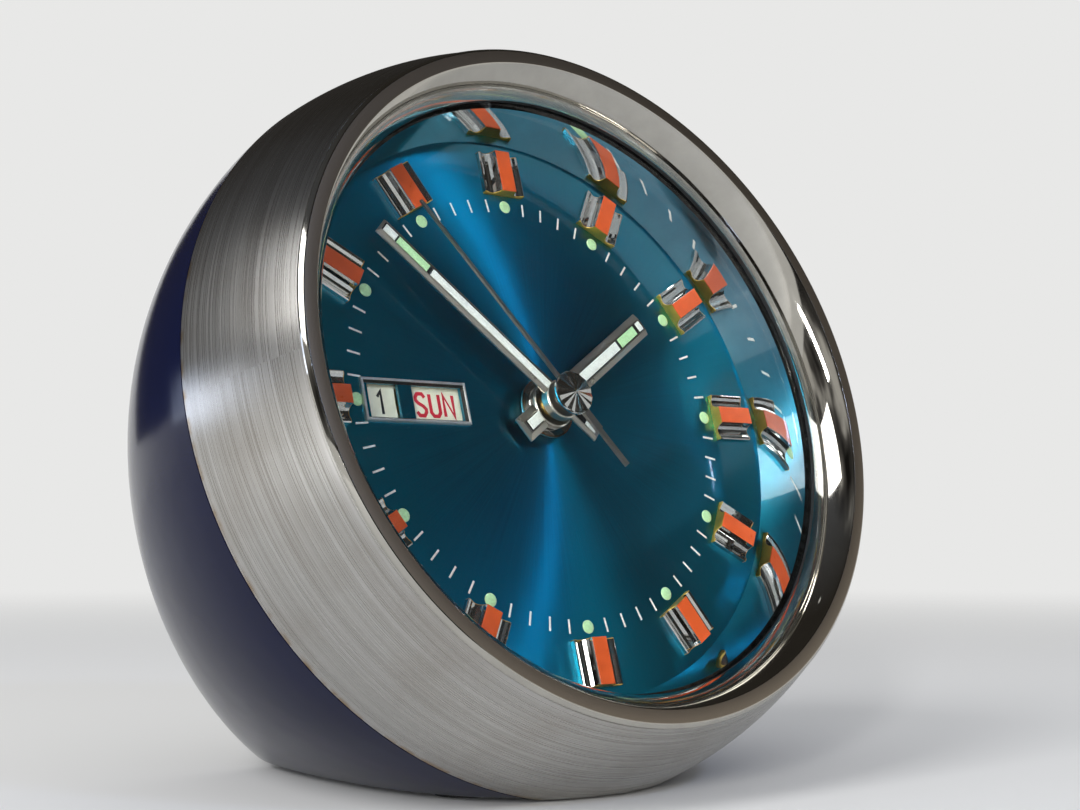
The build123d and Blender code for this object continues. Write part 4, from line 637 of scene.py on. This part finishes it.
def marker_strip():
    """The orange enamel on the ridge, a little rounded at its edges."""
    foot = (RIDGE_HALF - 0.02, MARKER_IN + 0.02, MARKER_OUT - 0.02)
    top = (RIDGE_HALF - 0.12, MARKER_IN + 0.12, MARKER_OUT - 0.12)
    return nested_bar([(*foot, MARKER_HEIGHT - 0.05), (*foot, MARKER_HEIGHT + 0.03),
                       (*top, MARKER_HEIGHT + 0.08)])


def lume_dot():
    """A drop of luminous paint on the track."""
    drop = [(0, 0), (DOT_R, 0), (DOT_R, 0.25 * DOT_HEIGHT), (0.85 * DOT_R, 0.7 * DOT_HEIGHT),
            (0.5 * DOT_R, 0.95 * DOT_HEIGHT), (0, DOT_HEIGHT)]
    bm = lathe(drop, 24, closed=False)
    bmesh.ops.translate(bm, verts=bm.verts, vec=(0, TRACK_R, 0))
    return bm


def minute_stroke():
    """A raised printed stroke on the track."""
    half = STROKE_WIDTH / 2
    low, high = TRACK_R - STROKE_LENGTH / 2, TRACK_R + STROKE_LENGTH / 2
    return nested_bar([(half, low, high, 0.0), (half, low, high, 0.03),
                       (half * 0.8, low + 0.03, high - 0.03, 0.05)])


def dial_furniture():
    """The twelve hour markers, their dots, and the minute strokes between them."""
    for part, shape, material in (("bodies", marker_body, CHROME), ("ends", marker_ends, BRASS_SAWN),
                                  ("strips", marker_strip, ORANGE)):
        markers = around_dial("hour_marker_" + part, shape(), HOURS, material)
        rides(markers, "case", "marker_chrome", "hour_markers")
    rides(around_dial("lume_dots", lume_dot(), HOURS, LUME), "case", "dial_blue")
    strokes = around_dial("minute_strokes", minute_stroke(), MINUTES, WHITE_PAINT, leave_out=MINUTES // HOURS)
    rides(strokes, "case", "dial_blue")


# ---- calendar window ----
WINDOW_X, WINDOW_SIZE, WINDOW_BORDER = -23.6, (18.0, 6.4), 0.7
EDGE_WIDTH = 0.42               # the bright raised part of the border


def window_ring(*levels):
    """A closed rectangular ring round the window from (inset, height) levels, outside to inside."""
    bm = bmesh.new()
    loops = []
    for inset, z in levels:
        x, y = WINDOW_SIZE[0] / 2 - inset, WINDOW_SIZE[1] / 2 - inset
        corners = ((-x, -y), (x, -y), (x, y), (-x, y))
        loops.append([bm.verts.new((WINDOW_X + right, up, z)) for right, up in corners])
    join_loops(bm, loops + loops[:1])
    return bm


def window():
    """The window's frame: a bright raised edge and a black bevel down to the discs."""
    edge = window_ring((0, 0), (0, 0.45), (0.1, 0.58), (0.36, 0.58), (EDGE_WIDTH, 0.5), (EDGE_WIDTH, 0))
    rides(finish_mesh("window_frame_edge", edge, NICKEL, 0), "case", "marker_chrome", "window_frame")
    bevel = window_ring((EDGE_WIDTH, 0), (EDGE_WIDTH, 0.48), (0.66, 0.1), (WINDOW_BORDER, 0))
    rides(finish_mesh("window_frame_bevel", bevel, BLACK_PAINT, 0), "case", "marker_chrome", "window_frame")


# ---- hands ----
HOUR_ANGLE, MINUTE_ANGLE, SECOND_ANGLE = 56.1, 312.6, 323.4
# half: half width; whites and lume: bars from and to along the hand; collar: radius, underside, top and
# hole radius
HOUR_HAND = {"half": 2.0, "tail": 7.5, "tip": 26.5, "low": 1.35, "thick": 0.9, "channel": 0.92,
             "whites": ((-6.3, -1.4), (3.6, 18.8), (24.95, 26.0)), "lume": (19.5, 24.1),
             "collar": (3.6, 1.15, 2.3, 2.3)}
MINUTE_HAND = {"half": 1.3, "tail": 7.9, "tip": 37.2, "low": MINUTE_HAND_LOW, "thick": 0.8, "channel": 0.78,
               "whites": ((-7.1, -5.0), (2.3, 27.2), (34.3, 36.6)), "lume": (27.9, 34.0),
               "collar": (3.05, 3.2, 4.65, 1.6)}
RIM_WIDTH, RIM_END = 0.16, 0.35         # the flat rim's width, and how far it stops from the hand's ends
CHANNEL_TAIL, CHANNEL_TIP = 0.75, 0.3   # the channel's distance from the tail and from the tip
CHANNEL_DEPTH = 0.25
INLAY_GAP, INLAY_SINK = 0.14, 0.1       # the black line beside a bar, and the bar's edge below the rim
NEEDLE_LOW, NEEDLE_TOP = 6.4, 6.75
# the seconds hand's right side: counterweight, waist and needle
NEEDLE_SIDE = [(0.5, -13.5), (0.5, -6.8), (0.8, -6.8), (0.8, 0), (0.4, 1.5), (0.25, 35.8)]
NEEDLE_COLLAR = (2.4, NEEDLE_LOW, NEEDLE_TOP, 0.5)
CAP_R, CAP_FACETS = 3.4, 28
CAP_LOW, CAP_RIM, CAP_SHOULDER, CAP_TOP = 6.76, 7.05, 7.2, 7.72
# rings of the alarm hand's boss, from its bore outwards and back underneath
ALARM_BOSS = [(3.0, 0.75), (3.0, 0.95), (3.25, 1.02), (3.45, 0.95), (3.55, 0.82), (4.3, 0.78), (4.62, 0.7),
              (4.7, 0.55), (4.7, 0.3), (3.0, 0.3)]


def inlay(half, low, high, z):
    """A filled bar that stands a little proud of its channel."""
    return nested_bar([(half, low, high, z - 0.2), (half, low, high, z),
                       (half - 0.08, low + 0.08, high - 0.08, z + 0.06)])


def collar_ring(radius, low, high, hole):
    """The pressed collar of a hand."""
    return lathe([(hole, low), (radius, low), (radius, high - 0.2), (radius - 0.2, high), (hole, high)], 64)


def bar_hand(body, node, angle, half, tail, tip, low, thick, channel, whites, lume, collar):
    """A hand with bevelled sides and a sunk black channel that holds white bars and one luminous bar."""
    name = node + "_bar"
    top = low + thick
    start, end = -tail + CHANNEL_TAIL, tip - CHANNEL_TIP
    rim = (channel + RIM_WIDTH, -tail + RIM_END, tip - RIM_END)
    steel = nested_bar([(half, -tail, tip, low), (half, -tail, tip, low + thick * 0.35), (*rim, top),
                        (channel, start, end, top), (channel, start, end, top - CHANNEL_DEPTH)])
    steel = joined(steel, collar_ring(*collar))
    rides(finish_mesh(name, turned(steel, angle), STEEL_SATIN, 0), body, "hand_chrome", node)
    floor = nested_bar([(channel, start, end, top - CHANNEL_DEPTH - 0.01),
                        (channel - 0.01, start, end, top - 0.2)])
    bars = joined(*[inlay(channel - INLAY_GAP, *ends, top - INLAY_SINK) for ends in whites])
    glow = inlay(channel - INLAY_GAP, *lume, top - INLAY_SINK)
    for part, shape, material in (("_channel", floor, BLACK_PAINT), ("_white_inlay", bars, WHITE_PAINT),
                                  ("_lume_inlay", glow, LUME)):
        rides(finish_mesh(name + part, turned(shape, angle), material, 0), body, "hand_chrome")


def seconds_needle():
    """The thin seconds hand, flat with bevelled sides, and its collar."""
    bm = bmesh.new()
    outline = mirrored(NEEDLE_SIDE)
    low = [bm.verts.new((x, y, NEEDLE_LOW)) for x, y in outline]
    high = [bm.verts.new((x * 0.8, y, NEEDLE_TOP)) for x, y in outline]
    join_loops(bm, [low, high])
    bm.faces.new(low[::-1])
    bm.faces.new(high)
    needle = turned(joined(bm, collar_ring(*NEEDLE_COLLAR)), SECOND_ANGLE)
    rides(finish_mesh("seconds_needle", needle, STEEL_SATIN, 0), "seconds", "hand_chrome", "seconds_hand")


def faceted_cap():
    """The cap over the hands: a low cone whose facets rise and fall by turns."""
    bm = bmesh.new()
    apex = bm.verts.new((0, 0, CAP_TOP))
    turns = [360 * i / CAP_FACETS for i in range(CAP_FACETS)]
    foot = [bm.verts.new(polar(CAP_R, turn, CAP_LOW)) for turn in turns]
    rim = [bm.verts.new(polar(CAP_R, turn, CAP_RIM)) for turn in turns]
    shoulder = [bm.verts.new(polar(CAP_R - 0.15, turn, CAP_SHOULDER + (0.14 if i % 2 else -0.04)))
                for i, turn in enumerate(turns)]
    join_loops(bm, [foot, rim, shoulder])
    for i in range(CAP_FACETS):
        bm.faces.new((shoulder[i], shoulder[(i + 1) % CAP_FACETS], apex))
    bm.faces.new(foot[::-1])
    rides(finish_mesh("faceted_cap", bm, CHROME, 0), "seconds", "hand_chrome", "seconds_cap")


def hands():
    """All the hands, from the hour hand up to the cap, and the plated rings of the alarm hand's boss."""
    bar_hand("hour", "hour_hand", HOUR_ANGLE, **HOUR_HAND)
    bar_hand("minute", "minute_hand", MINUTE_ANGLE, **MINUTE_HAND)
    seconds_needle()
    faceted_cap()
    rides(finish_mesh("alarm_boss_rings", lathe(ALARM_BOSS, 96), CHROME, 30), "alarm hand", "alarm_copper")


# ---- calendar print ----
# plain condensed letters and numerals as strokes on a grid 4 wide and 6 high; a stroke that ends where it
# starts is closed
GRID_WIDTH, GRID_HEIGHT = 4, 6
ROUND = [(0, 1), (0, 5), (1, 6), (3, 6), (4, 5), (4, 1), (3, 0), (1, 0), (0, 1)]
STROKES = {
    "0": [ROUND],
    "1": [[(0.7, 4.5), (2.3, 6), (2.3, 0)]],
    "2": [[(0, 4.8), (1, 6), (3, 6), (4, 5), (4, 4), (0, 0), (4.2, 0)]],
    "3": [[(0, 5), (1, 6), (3, 6), (4, 5), (4, 4), (3, 3.1), (1.6, 3.1)],
          [(3, 3.1), (4, 2.2), (4, 1), (3, 0), (1, 0), (0, 1)]],
    "4": [[(3, 0), (3, 6), (0, 1.8), (4.3, 1.8)]],
    "5": [[(3.8, 6), (0.4, 6), (0.2, 3.2), (3, 3.6), (4, 2.6), (4, 1), (3, 0), (1, 0), (0, 1)]],
    "6": [[(3.9, 5.1), (3, 6), (1, 6), (0, 5), (0, 1), (1, 0), (3, 0), (4, 1), (4, 2.4), (3, 3.3), (0.2, 3)]],
    "7": [[(0, 6), (4, 6), (1.4, 0)]],
    "8": [[(1, 3.1), (0.2, 4), (0.2, 5), (1, 6), (3, 6), (3.8, 5), (3.8, 4), (3, 3.1), (1, 3.1)],
          [(1, 3.1), (0, 2.2), (0, 1), (1, 0), (3, 0), (4, 1), (4, 2.2), (3, 3.1), (1, 3.1)]],
    "9": [[(0.1, 0.9), (1, 0), (3, 0), (4, 1), (4, 5), (3, 6), (1, 6), (0, 5), (0, 3.6), (1, 2.7), (3.8, 3)]],
    "A": [[(0, 0), (2, 6), (4, 0)], [(0.7, 2), (3.3, 2)]],
    "D": [[(0, 0), (0, 6), (2.6, 6), (4, 4.8), (4, 1.2), (2.6, 0), (0, 0)]],
    "E": [[(3.8, 6), (0, 6), (0, 0), (3.8, 0)], [(0, 3.1), (3.2, 3.1)]],
    "F": [[(3.8, 6), (0, 6), (0, 0)], [(0, 3.1), (3.2, 3.1)]],
    "H": [[(0, 0), (0, 6)], [(4, 0), (4, 6)], [(0, 3.1), (4, 3.1)]],
    "I": [[(2, 0), (2, 6)]],
    "M": [[(0, 0), (0, 6), (2, 2.4), (4, 6), (4, 0)]],
    "N": [[(0, 0), (0, 6), (4, 0), (4, 6)]],
    "O": [ROUND],
    "R": [[(0, 0), (0, 6), (3, 6), (4, 5), (4, 4), (3, 3), (0, 3)], [(2.2, 3), (4, 0)]],
    "S": [[(4, 5), (3, 6), (1, 6), (0, 5), (0, 4.2), (1, 3.4), (3, 2.6), (4, 1.8), (4, 1), (3, 0), (1, 0),
           (0, 1)]],
    "T": [[(0, 6), (4, 6)], [(2, 6), (2, 0)]],
    "U": [[(0, 6), (0, 1), (1, 0), (3, 0), (4, 1), (4, 6)]],
    "W": [[(0, 6), (1, 0), (2, 4), (3, 0), (4, 6)]],
}
WEEKDAYS = ("SUN", "MON", "TUE", "WED", "THU", "FRI", "SAT")
DATES = 31
LETTER_WIDTH, LETTER_PITCH = 1.6, 2.45
INK_TOP, INK_THICK = -0.87, 0.05        # the discs' faces lie at -0.9
DATE_PRINT = {"height": 3.4, "width": 0.45, "radius": 28.8}
DAY_PRINT = {"height": 3.3, "width": 0.55, "radius": 19.6}
SHARPEST_MITRE = 0.45


def ink_stroke(bm, points, width):
    """A flat ribbon of ink along the points, with mitred corners."""
    closed = points[0] == points[-1]
    points = [Vector(p) for p in (points[:-1] if closed else points)]
    count = len(points)
    low = INK_TOP - INK_THICK
    rings = []
    for i, point in enumerate(points):
        before = (point - points[i - 1]).normalized() if i or closed else None
        after = (points[(i + 1) % count] - point).normalized() if i < count - 1 or closed else None
        before, after = before or after, after or before
        middle = (before + after).normalized()
        reach = width / 2 / max(SHARPEST_MITRE, middle.dot(after))
        side = Vector((-middle.y, middle.x)) * reach
        left, right = point + side, point - side
        corners = ((left, INK_TOP), (right, INK_TOP), (right, low), (left, low))
        rings.append([bm.verts.new((*place, z)) for place, z in corners])
    join_loops(bm, rings + rings[:1] if closed else rings)
    if not closed:
        bm.faces.new(rings[0][::-1])
        bm.faces.new(rings[-1])


def lettering(text, angle, height, width, radius):
    """A word on a calendar disc at this radius and angle, upright when it stands at 9 o'clock."""
    bm = bmesh.new()
    start = -((len(text) - 1) * LETTER_PITCH + LETTER_WIDTH) / 2
    for place, letter in enumerate(text):
        left = start + place * LETTER_PITCH
        for stroke in STROKES[letter]:
            ink_stroke(bm, [(left + x / GRID_WIDTH * LETTER_WIDTH, (y / GRID_HEIGHT - 0.5) * height)
                            for x, y in stroke], width)
    bmesh.ops.translate(bm, verts=bm.verts, vec=(-radius, 0, 0))
    bmesh.ops.rotate(bm, verts=bm.verts, matrix=Matrix.Rotation(radians(angle), 3, "Z"))
    return bm


def calendar_print():
    """The 31 dates round their ring, and the weekdays round their disc, Sunday in red."""
    dates = [lettering(str(i + 1), -i * 360 / DATES, **DATE_PRINT) for i in range(DATES)]
    sunday, *others = (lettering(day, -i * 360 / len(WEEKDAYS), **DAY_PRINT)
                       for i, day in enumerate(WEEKDAYS))
    rides(finish_mesh("date_numerals", joined(*dates), BLACK_INK, 0), "date ring", "calendar_cream")
    rides(finish_mesh("sunday_letters", sunday, RED_INK, 0), "day disc", "calendar_cream")
    rides(finish_mesh("weekday_letters", joined(*others), BLACK_INK, 0), "day disc", "calendar_cream")


# ---- studio, in metres ----
BACKDROP = "#E8E8E7"
CLOCK_MIDDLE = Vector((0, 0, 0.055))
FLOOR_R = 3.0
FLOOR_FADE = (0.22, 0.8)        # from and to, how far from the clock the table thins out into the backdrop
CURTAIN_R = 1.6
CURTAIN_STEPS, CURTAIN_ROWS = 72, 12
# the curtain's lower edge as (azimuth, elevation) in degrees; the gaps let the pale backdrop into the metal
CURTAIN_HEM = ((0, 1), (20, 20), (100, 20), (110, 12), (150, 12), (190, 4), (270, 4), (300, 14), (330, 3),
               (345, 1), (360, 1))
CURTAIN_TOP = 89
AMBIENT = 0.52
COOL_WHITE, FRONT_BLUE = "#D6E4FF", "#BCD2FF"


def away(azimuth, elevation, distance):
    """A place this far from the clock's middle; azimuth 0 is +Y and 90 is +X."""
    a, e = radians(azimuth), radians(elevation)
    return Vector((sin(a) * cos(e), cos(a) * cos(e), sin(e))) * distance + CLOCK_MIDDLE


def pale_floor():
    """A matt pale table; far away it thins out into the backdrop of the same colour."""
    material, tree = new_material("pale_floor")
    table = add(tree, "ShaderNodeBsdfPrincipled",
                {"Base Color": linear(BACKDROP), "Roughness": 1.0, "Specular IOR Level": 0.0})
    place = add(tree, "ShaderNodeTexCoord").outputs["Object"]
    distance = add(tree, "ShaderNodeVectorMath", {0: place}, operation="LENGTH").outputs["Value"]
    thin = add(tree, "ShaderNodeMapRange", {0: distance, 1: FLOOR_FADE[0], 2: FLOOR_FADE[1]},
               interpolation_type="SMOOTHSTEP")
    clear = add(tree, "ShaderNodeBsdfTransparent")
    mixed = add(tree, "ShaderNodeMixShader", {0: thin, 1: table, 2: clear})
    add(tree, "ShaderNodeOutputMaterial", {"Surface": mixed})
    bm = bmesh.new()
    bmesh.ops.create_circle(bm, cap_ends=True, radius=FLOOR_R, segments=64)
    finish_mesh("floor", bm, material, 0, Matrix.Identity(4))


def curtain_felt():
    """Dark felt, greyer on the left, with pale patches at the front left, for the metal to reflect."""
    material, tree = new_material("dark_felt_curtain")
    place = add(tree, "ShaderNodeTexCoord").outputs["Object"]
    left_to_right = add(tree, "ShaderNodeMapRange",
                        {0: add(tree, "ShaderNodeSeparateXYZ", {0: place}), 1: -1.5, 2: 1.5})
    felt = add(tree, "ShaderNodeValToRGB", {0: left_to_right},
               ((0.15, linear("#5C5E62")), (0.55, linear("#34312D"))))
    # folds about 0.6 m apart
    folds = add(tree, "ShaderNodeTexNoise", {"Vector": place, "Scale": 1.6, "Detail": 2.0})
    pale = add(tree, "ShaderNodeValToRGB", {0: folds},
               ((0.40, linear("#1E1D1C")), (0.53, linear("#5A5856")), (0.66, linear("#CFCDC9"))))
    toward = add(tree, "ShaderNodeVectorMath", {0: place, 1: tuple(away(228, 8, 1.0) / CURTAIN_R)},
                 operation="DOT_PRODUCT").outputs["Value"]
    front_left = add(tree, "ShaderNodeValToRGB", {0: toward}, ((0.55, 0.0), (0.75, 1.0)))
    shade = add(tree, "ShaderNodeMix", {0: front_left, COLOUR_A: felt, COLOUR_B: pale},
                data_type="RGBA").outputs[MIXED_COLOUR]
    glow = add(tree, "ShaderNodeEmission", {"Color": shade, "Strength": 1.0})
    add(tree, "ShaderNodeOutputMaterial", {"Surface": glow})
    return material


def dark_curtain():
    """A tent of dark felt over the table, which only metal and glass see."""
    bm = bmesh.new()
    columns = []
    for i in range(CURTAIN_STEPS):
        azimuth = 360 * i / CURTAIN_STEPS
        hem = next(h0 + (h1 - h0) * (azimuth - a0) / (a1 - a0)
                   for (a0, h0), (a1, h1) in zip(CURTAIN_HEM, CURTAIN_HEM[1:]) if azimuth <= a1)
        rise = (CURTAIN_TOP - hem) / CURTAIN_ROWS
        heights = [hem + rise * k for k in range(CURTAIN_ROWS + 1)]
        columns.append([bm.verts.new(away(azimuth, height, CURTAIN_R)) for height in heights])
    for a, b in zip(columns, columns[1:] + columns[:1]):
        for k in range(CURTAIN_ROWS):
            bm.faces.new((a[k], b[k], b[k + 1], a[k + 1]))
    curtain = finish_mesh("dark_curtain", bm, curtain_felt(), 0, Matrix.Identity(4))
    curtain.visible_camera = curtain.visible_diffuse = curtain.visible_shadow = False


def lamp(name, place, size, watts, colour="#FFFFFF"):
    """A rectangular lamp that faces the clock's middle."""
    light = bpy.data.lights.new(name, "AREA")
    light.shape = "RECTANGLE"
    light.size, light.size_y = size
    light.energy = watts
    light.color = linear(colour)[:3]
    holder = bpy.data.objects.new(name, light)
    holder.location = place
    holder.rotation_euler = (CLOCK_MIDDLE - place).to_track_quat("-Z", "Y").to_euler()
    bpy.context.scene.collection.objects.link(holder)


def lamps():
    """Four soft lamps."""
    # lights the dial's fans, from the front and above
    lamp("front_softbox", away(177, 34, 0.9), (0.12, 0.05), 0.88, FRONT_BLUE)
    # the bright band across the barrel's left side
    lamp("side_window", away(230, 13, 0.9), (0.07, 0.36), 4.2)
    # a low gleam along the shell, from behind on the left
    lamp("left_softbox", away(318, 5, 0.9), (0.5, 0.12), 0.5, COOL_WHITE)
    # throws the clock's soft shadow to the right
    lamp("shadow_light", away(262, 40, 1.1), (0.5, 0.5), 4.5)


def backdrop():
    """The world: a pale backdrop to the eye, in metal and through glass, and dimmer light on the rest."""
    world = bpy.data.worlds.new("studio")
    bpy.context.scene.world = world
    world.use_nodes = True
    tree = world.node_tree
    tree.nodes.clear()
    path = add(tree, "ShaderNodeLightPath").outputs
    seen = add(tree, "ShaderNodeMath", {0: path["Is Camera Ray"], 1: path["Is Glossy Ray"]},
               operation="MAXIMUM")
    seen = add(tree, "ShaderNodeMath", {0: seen, 1: path["Is Transmission Ray"]}, operation="MAXIMUM")
    ambient = add(tree, "ShaderNodeBackground", {"Color": linear("#FFFFFF"), "Strength": AMBIENT})
    pale = add(tree, "ShaderNodeBackground", {"Color": linear(BACKDROP), "Strength": 1.0})
    both = add(tree, "ShaderNodeMixShader", {0: seen, 1: ambient, 2: pale})
    add(tree, "ShaderNodeOutputWorld", {"Surface": both})


CAMERA_FROM_DIAL = Vector((-161.6, -197.0, -16.84))     # millimetres from the dial's centre
CAMERA_LOOK = Vector((0.63221, 0.77167, 0.06957))
CAMERA_LENS = 56.72


def camera():
    """The camera stands left of the dial's axis, a little below the dial's centre, and looks slightly up."""
    data = bpy.data.cameras.new("camera")
    data.sensor_width = 36.0
    data.lens = CAMERA_LENS
    holder = bpy.data.objects.new("camera", data)
    holder.location = DIAL_CENTRE + CAMERA_FROM_DIAL * MM
    holder.rotation_euler = CAMERA_LOOK.to_track_quat("-Z", "Y").to_euler()
    bpy.context.scene.collection.objects.link(holder)
    bpy.context.scene.camera = holder


finish_cad_nodes()
barrel_ring()
bezel()
mirror_wall()
crystal()
dial_furniture()
window()
hands()
calendar_print()
pale_floor()
dark_curtain()
backdrop()
lamps()
camera()
bpy.context.scene.view_settings.view_transform = "Standard"
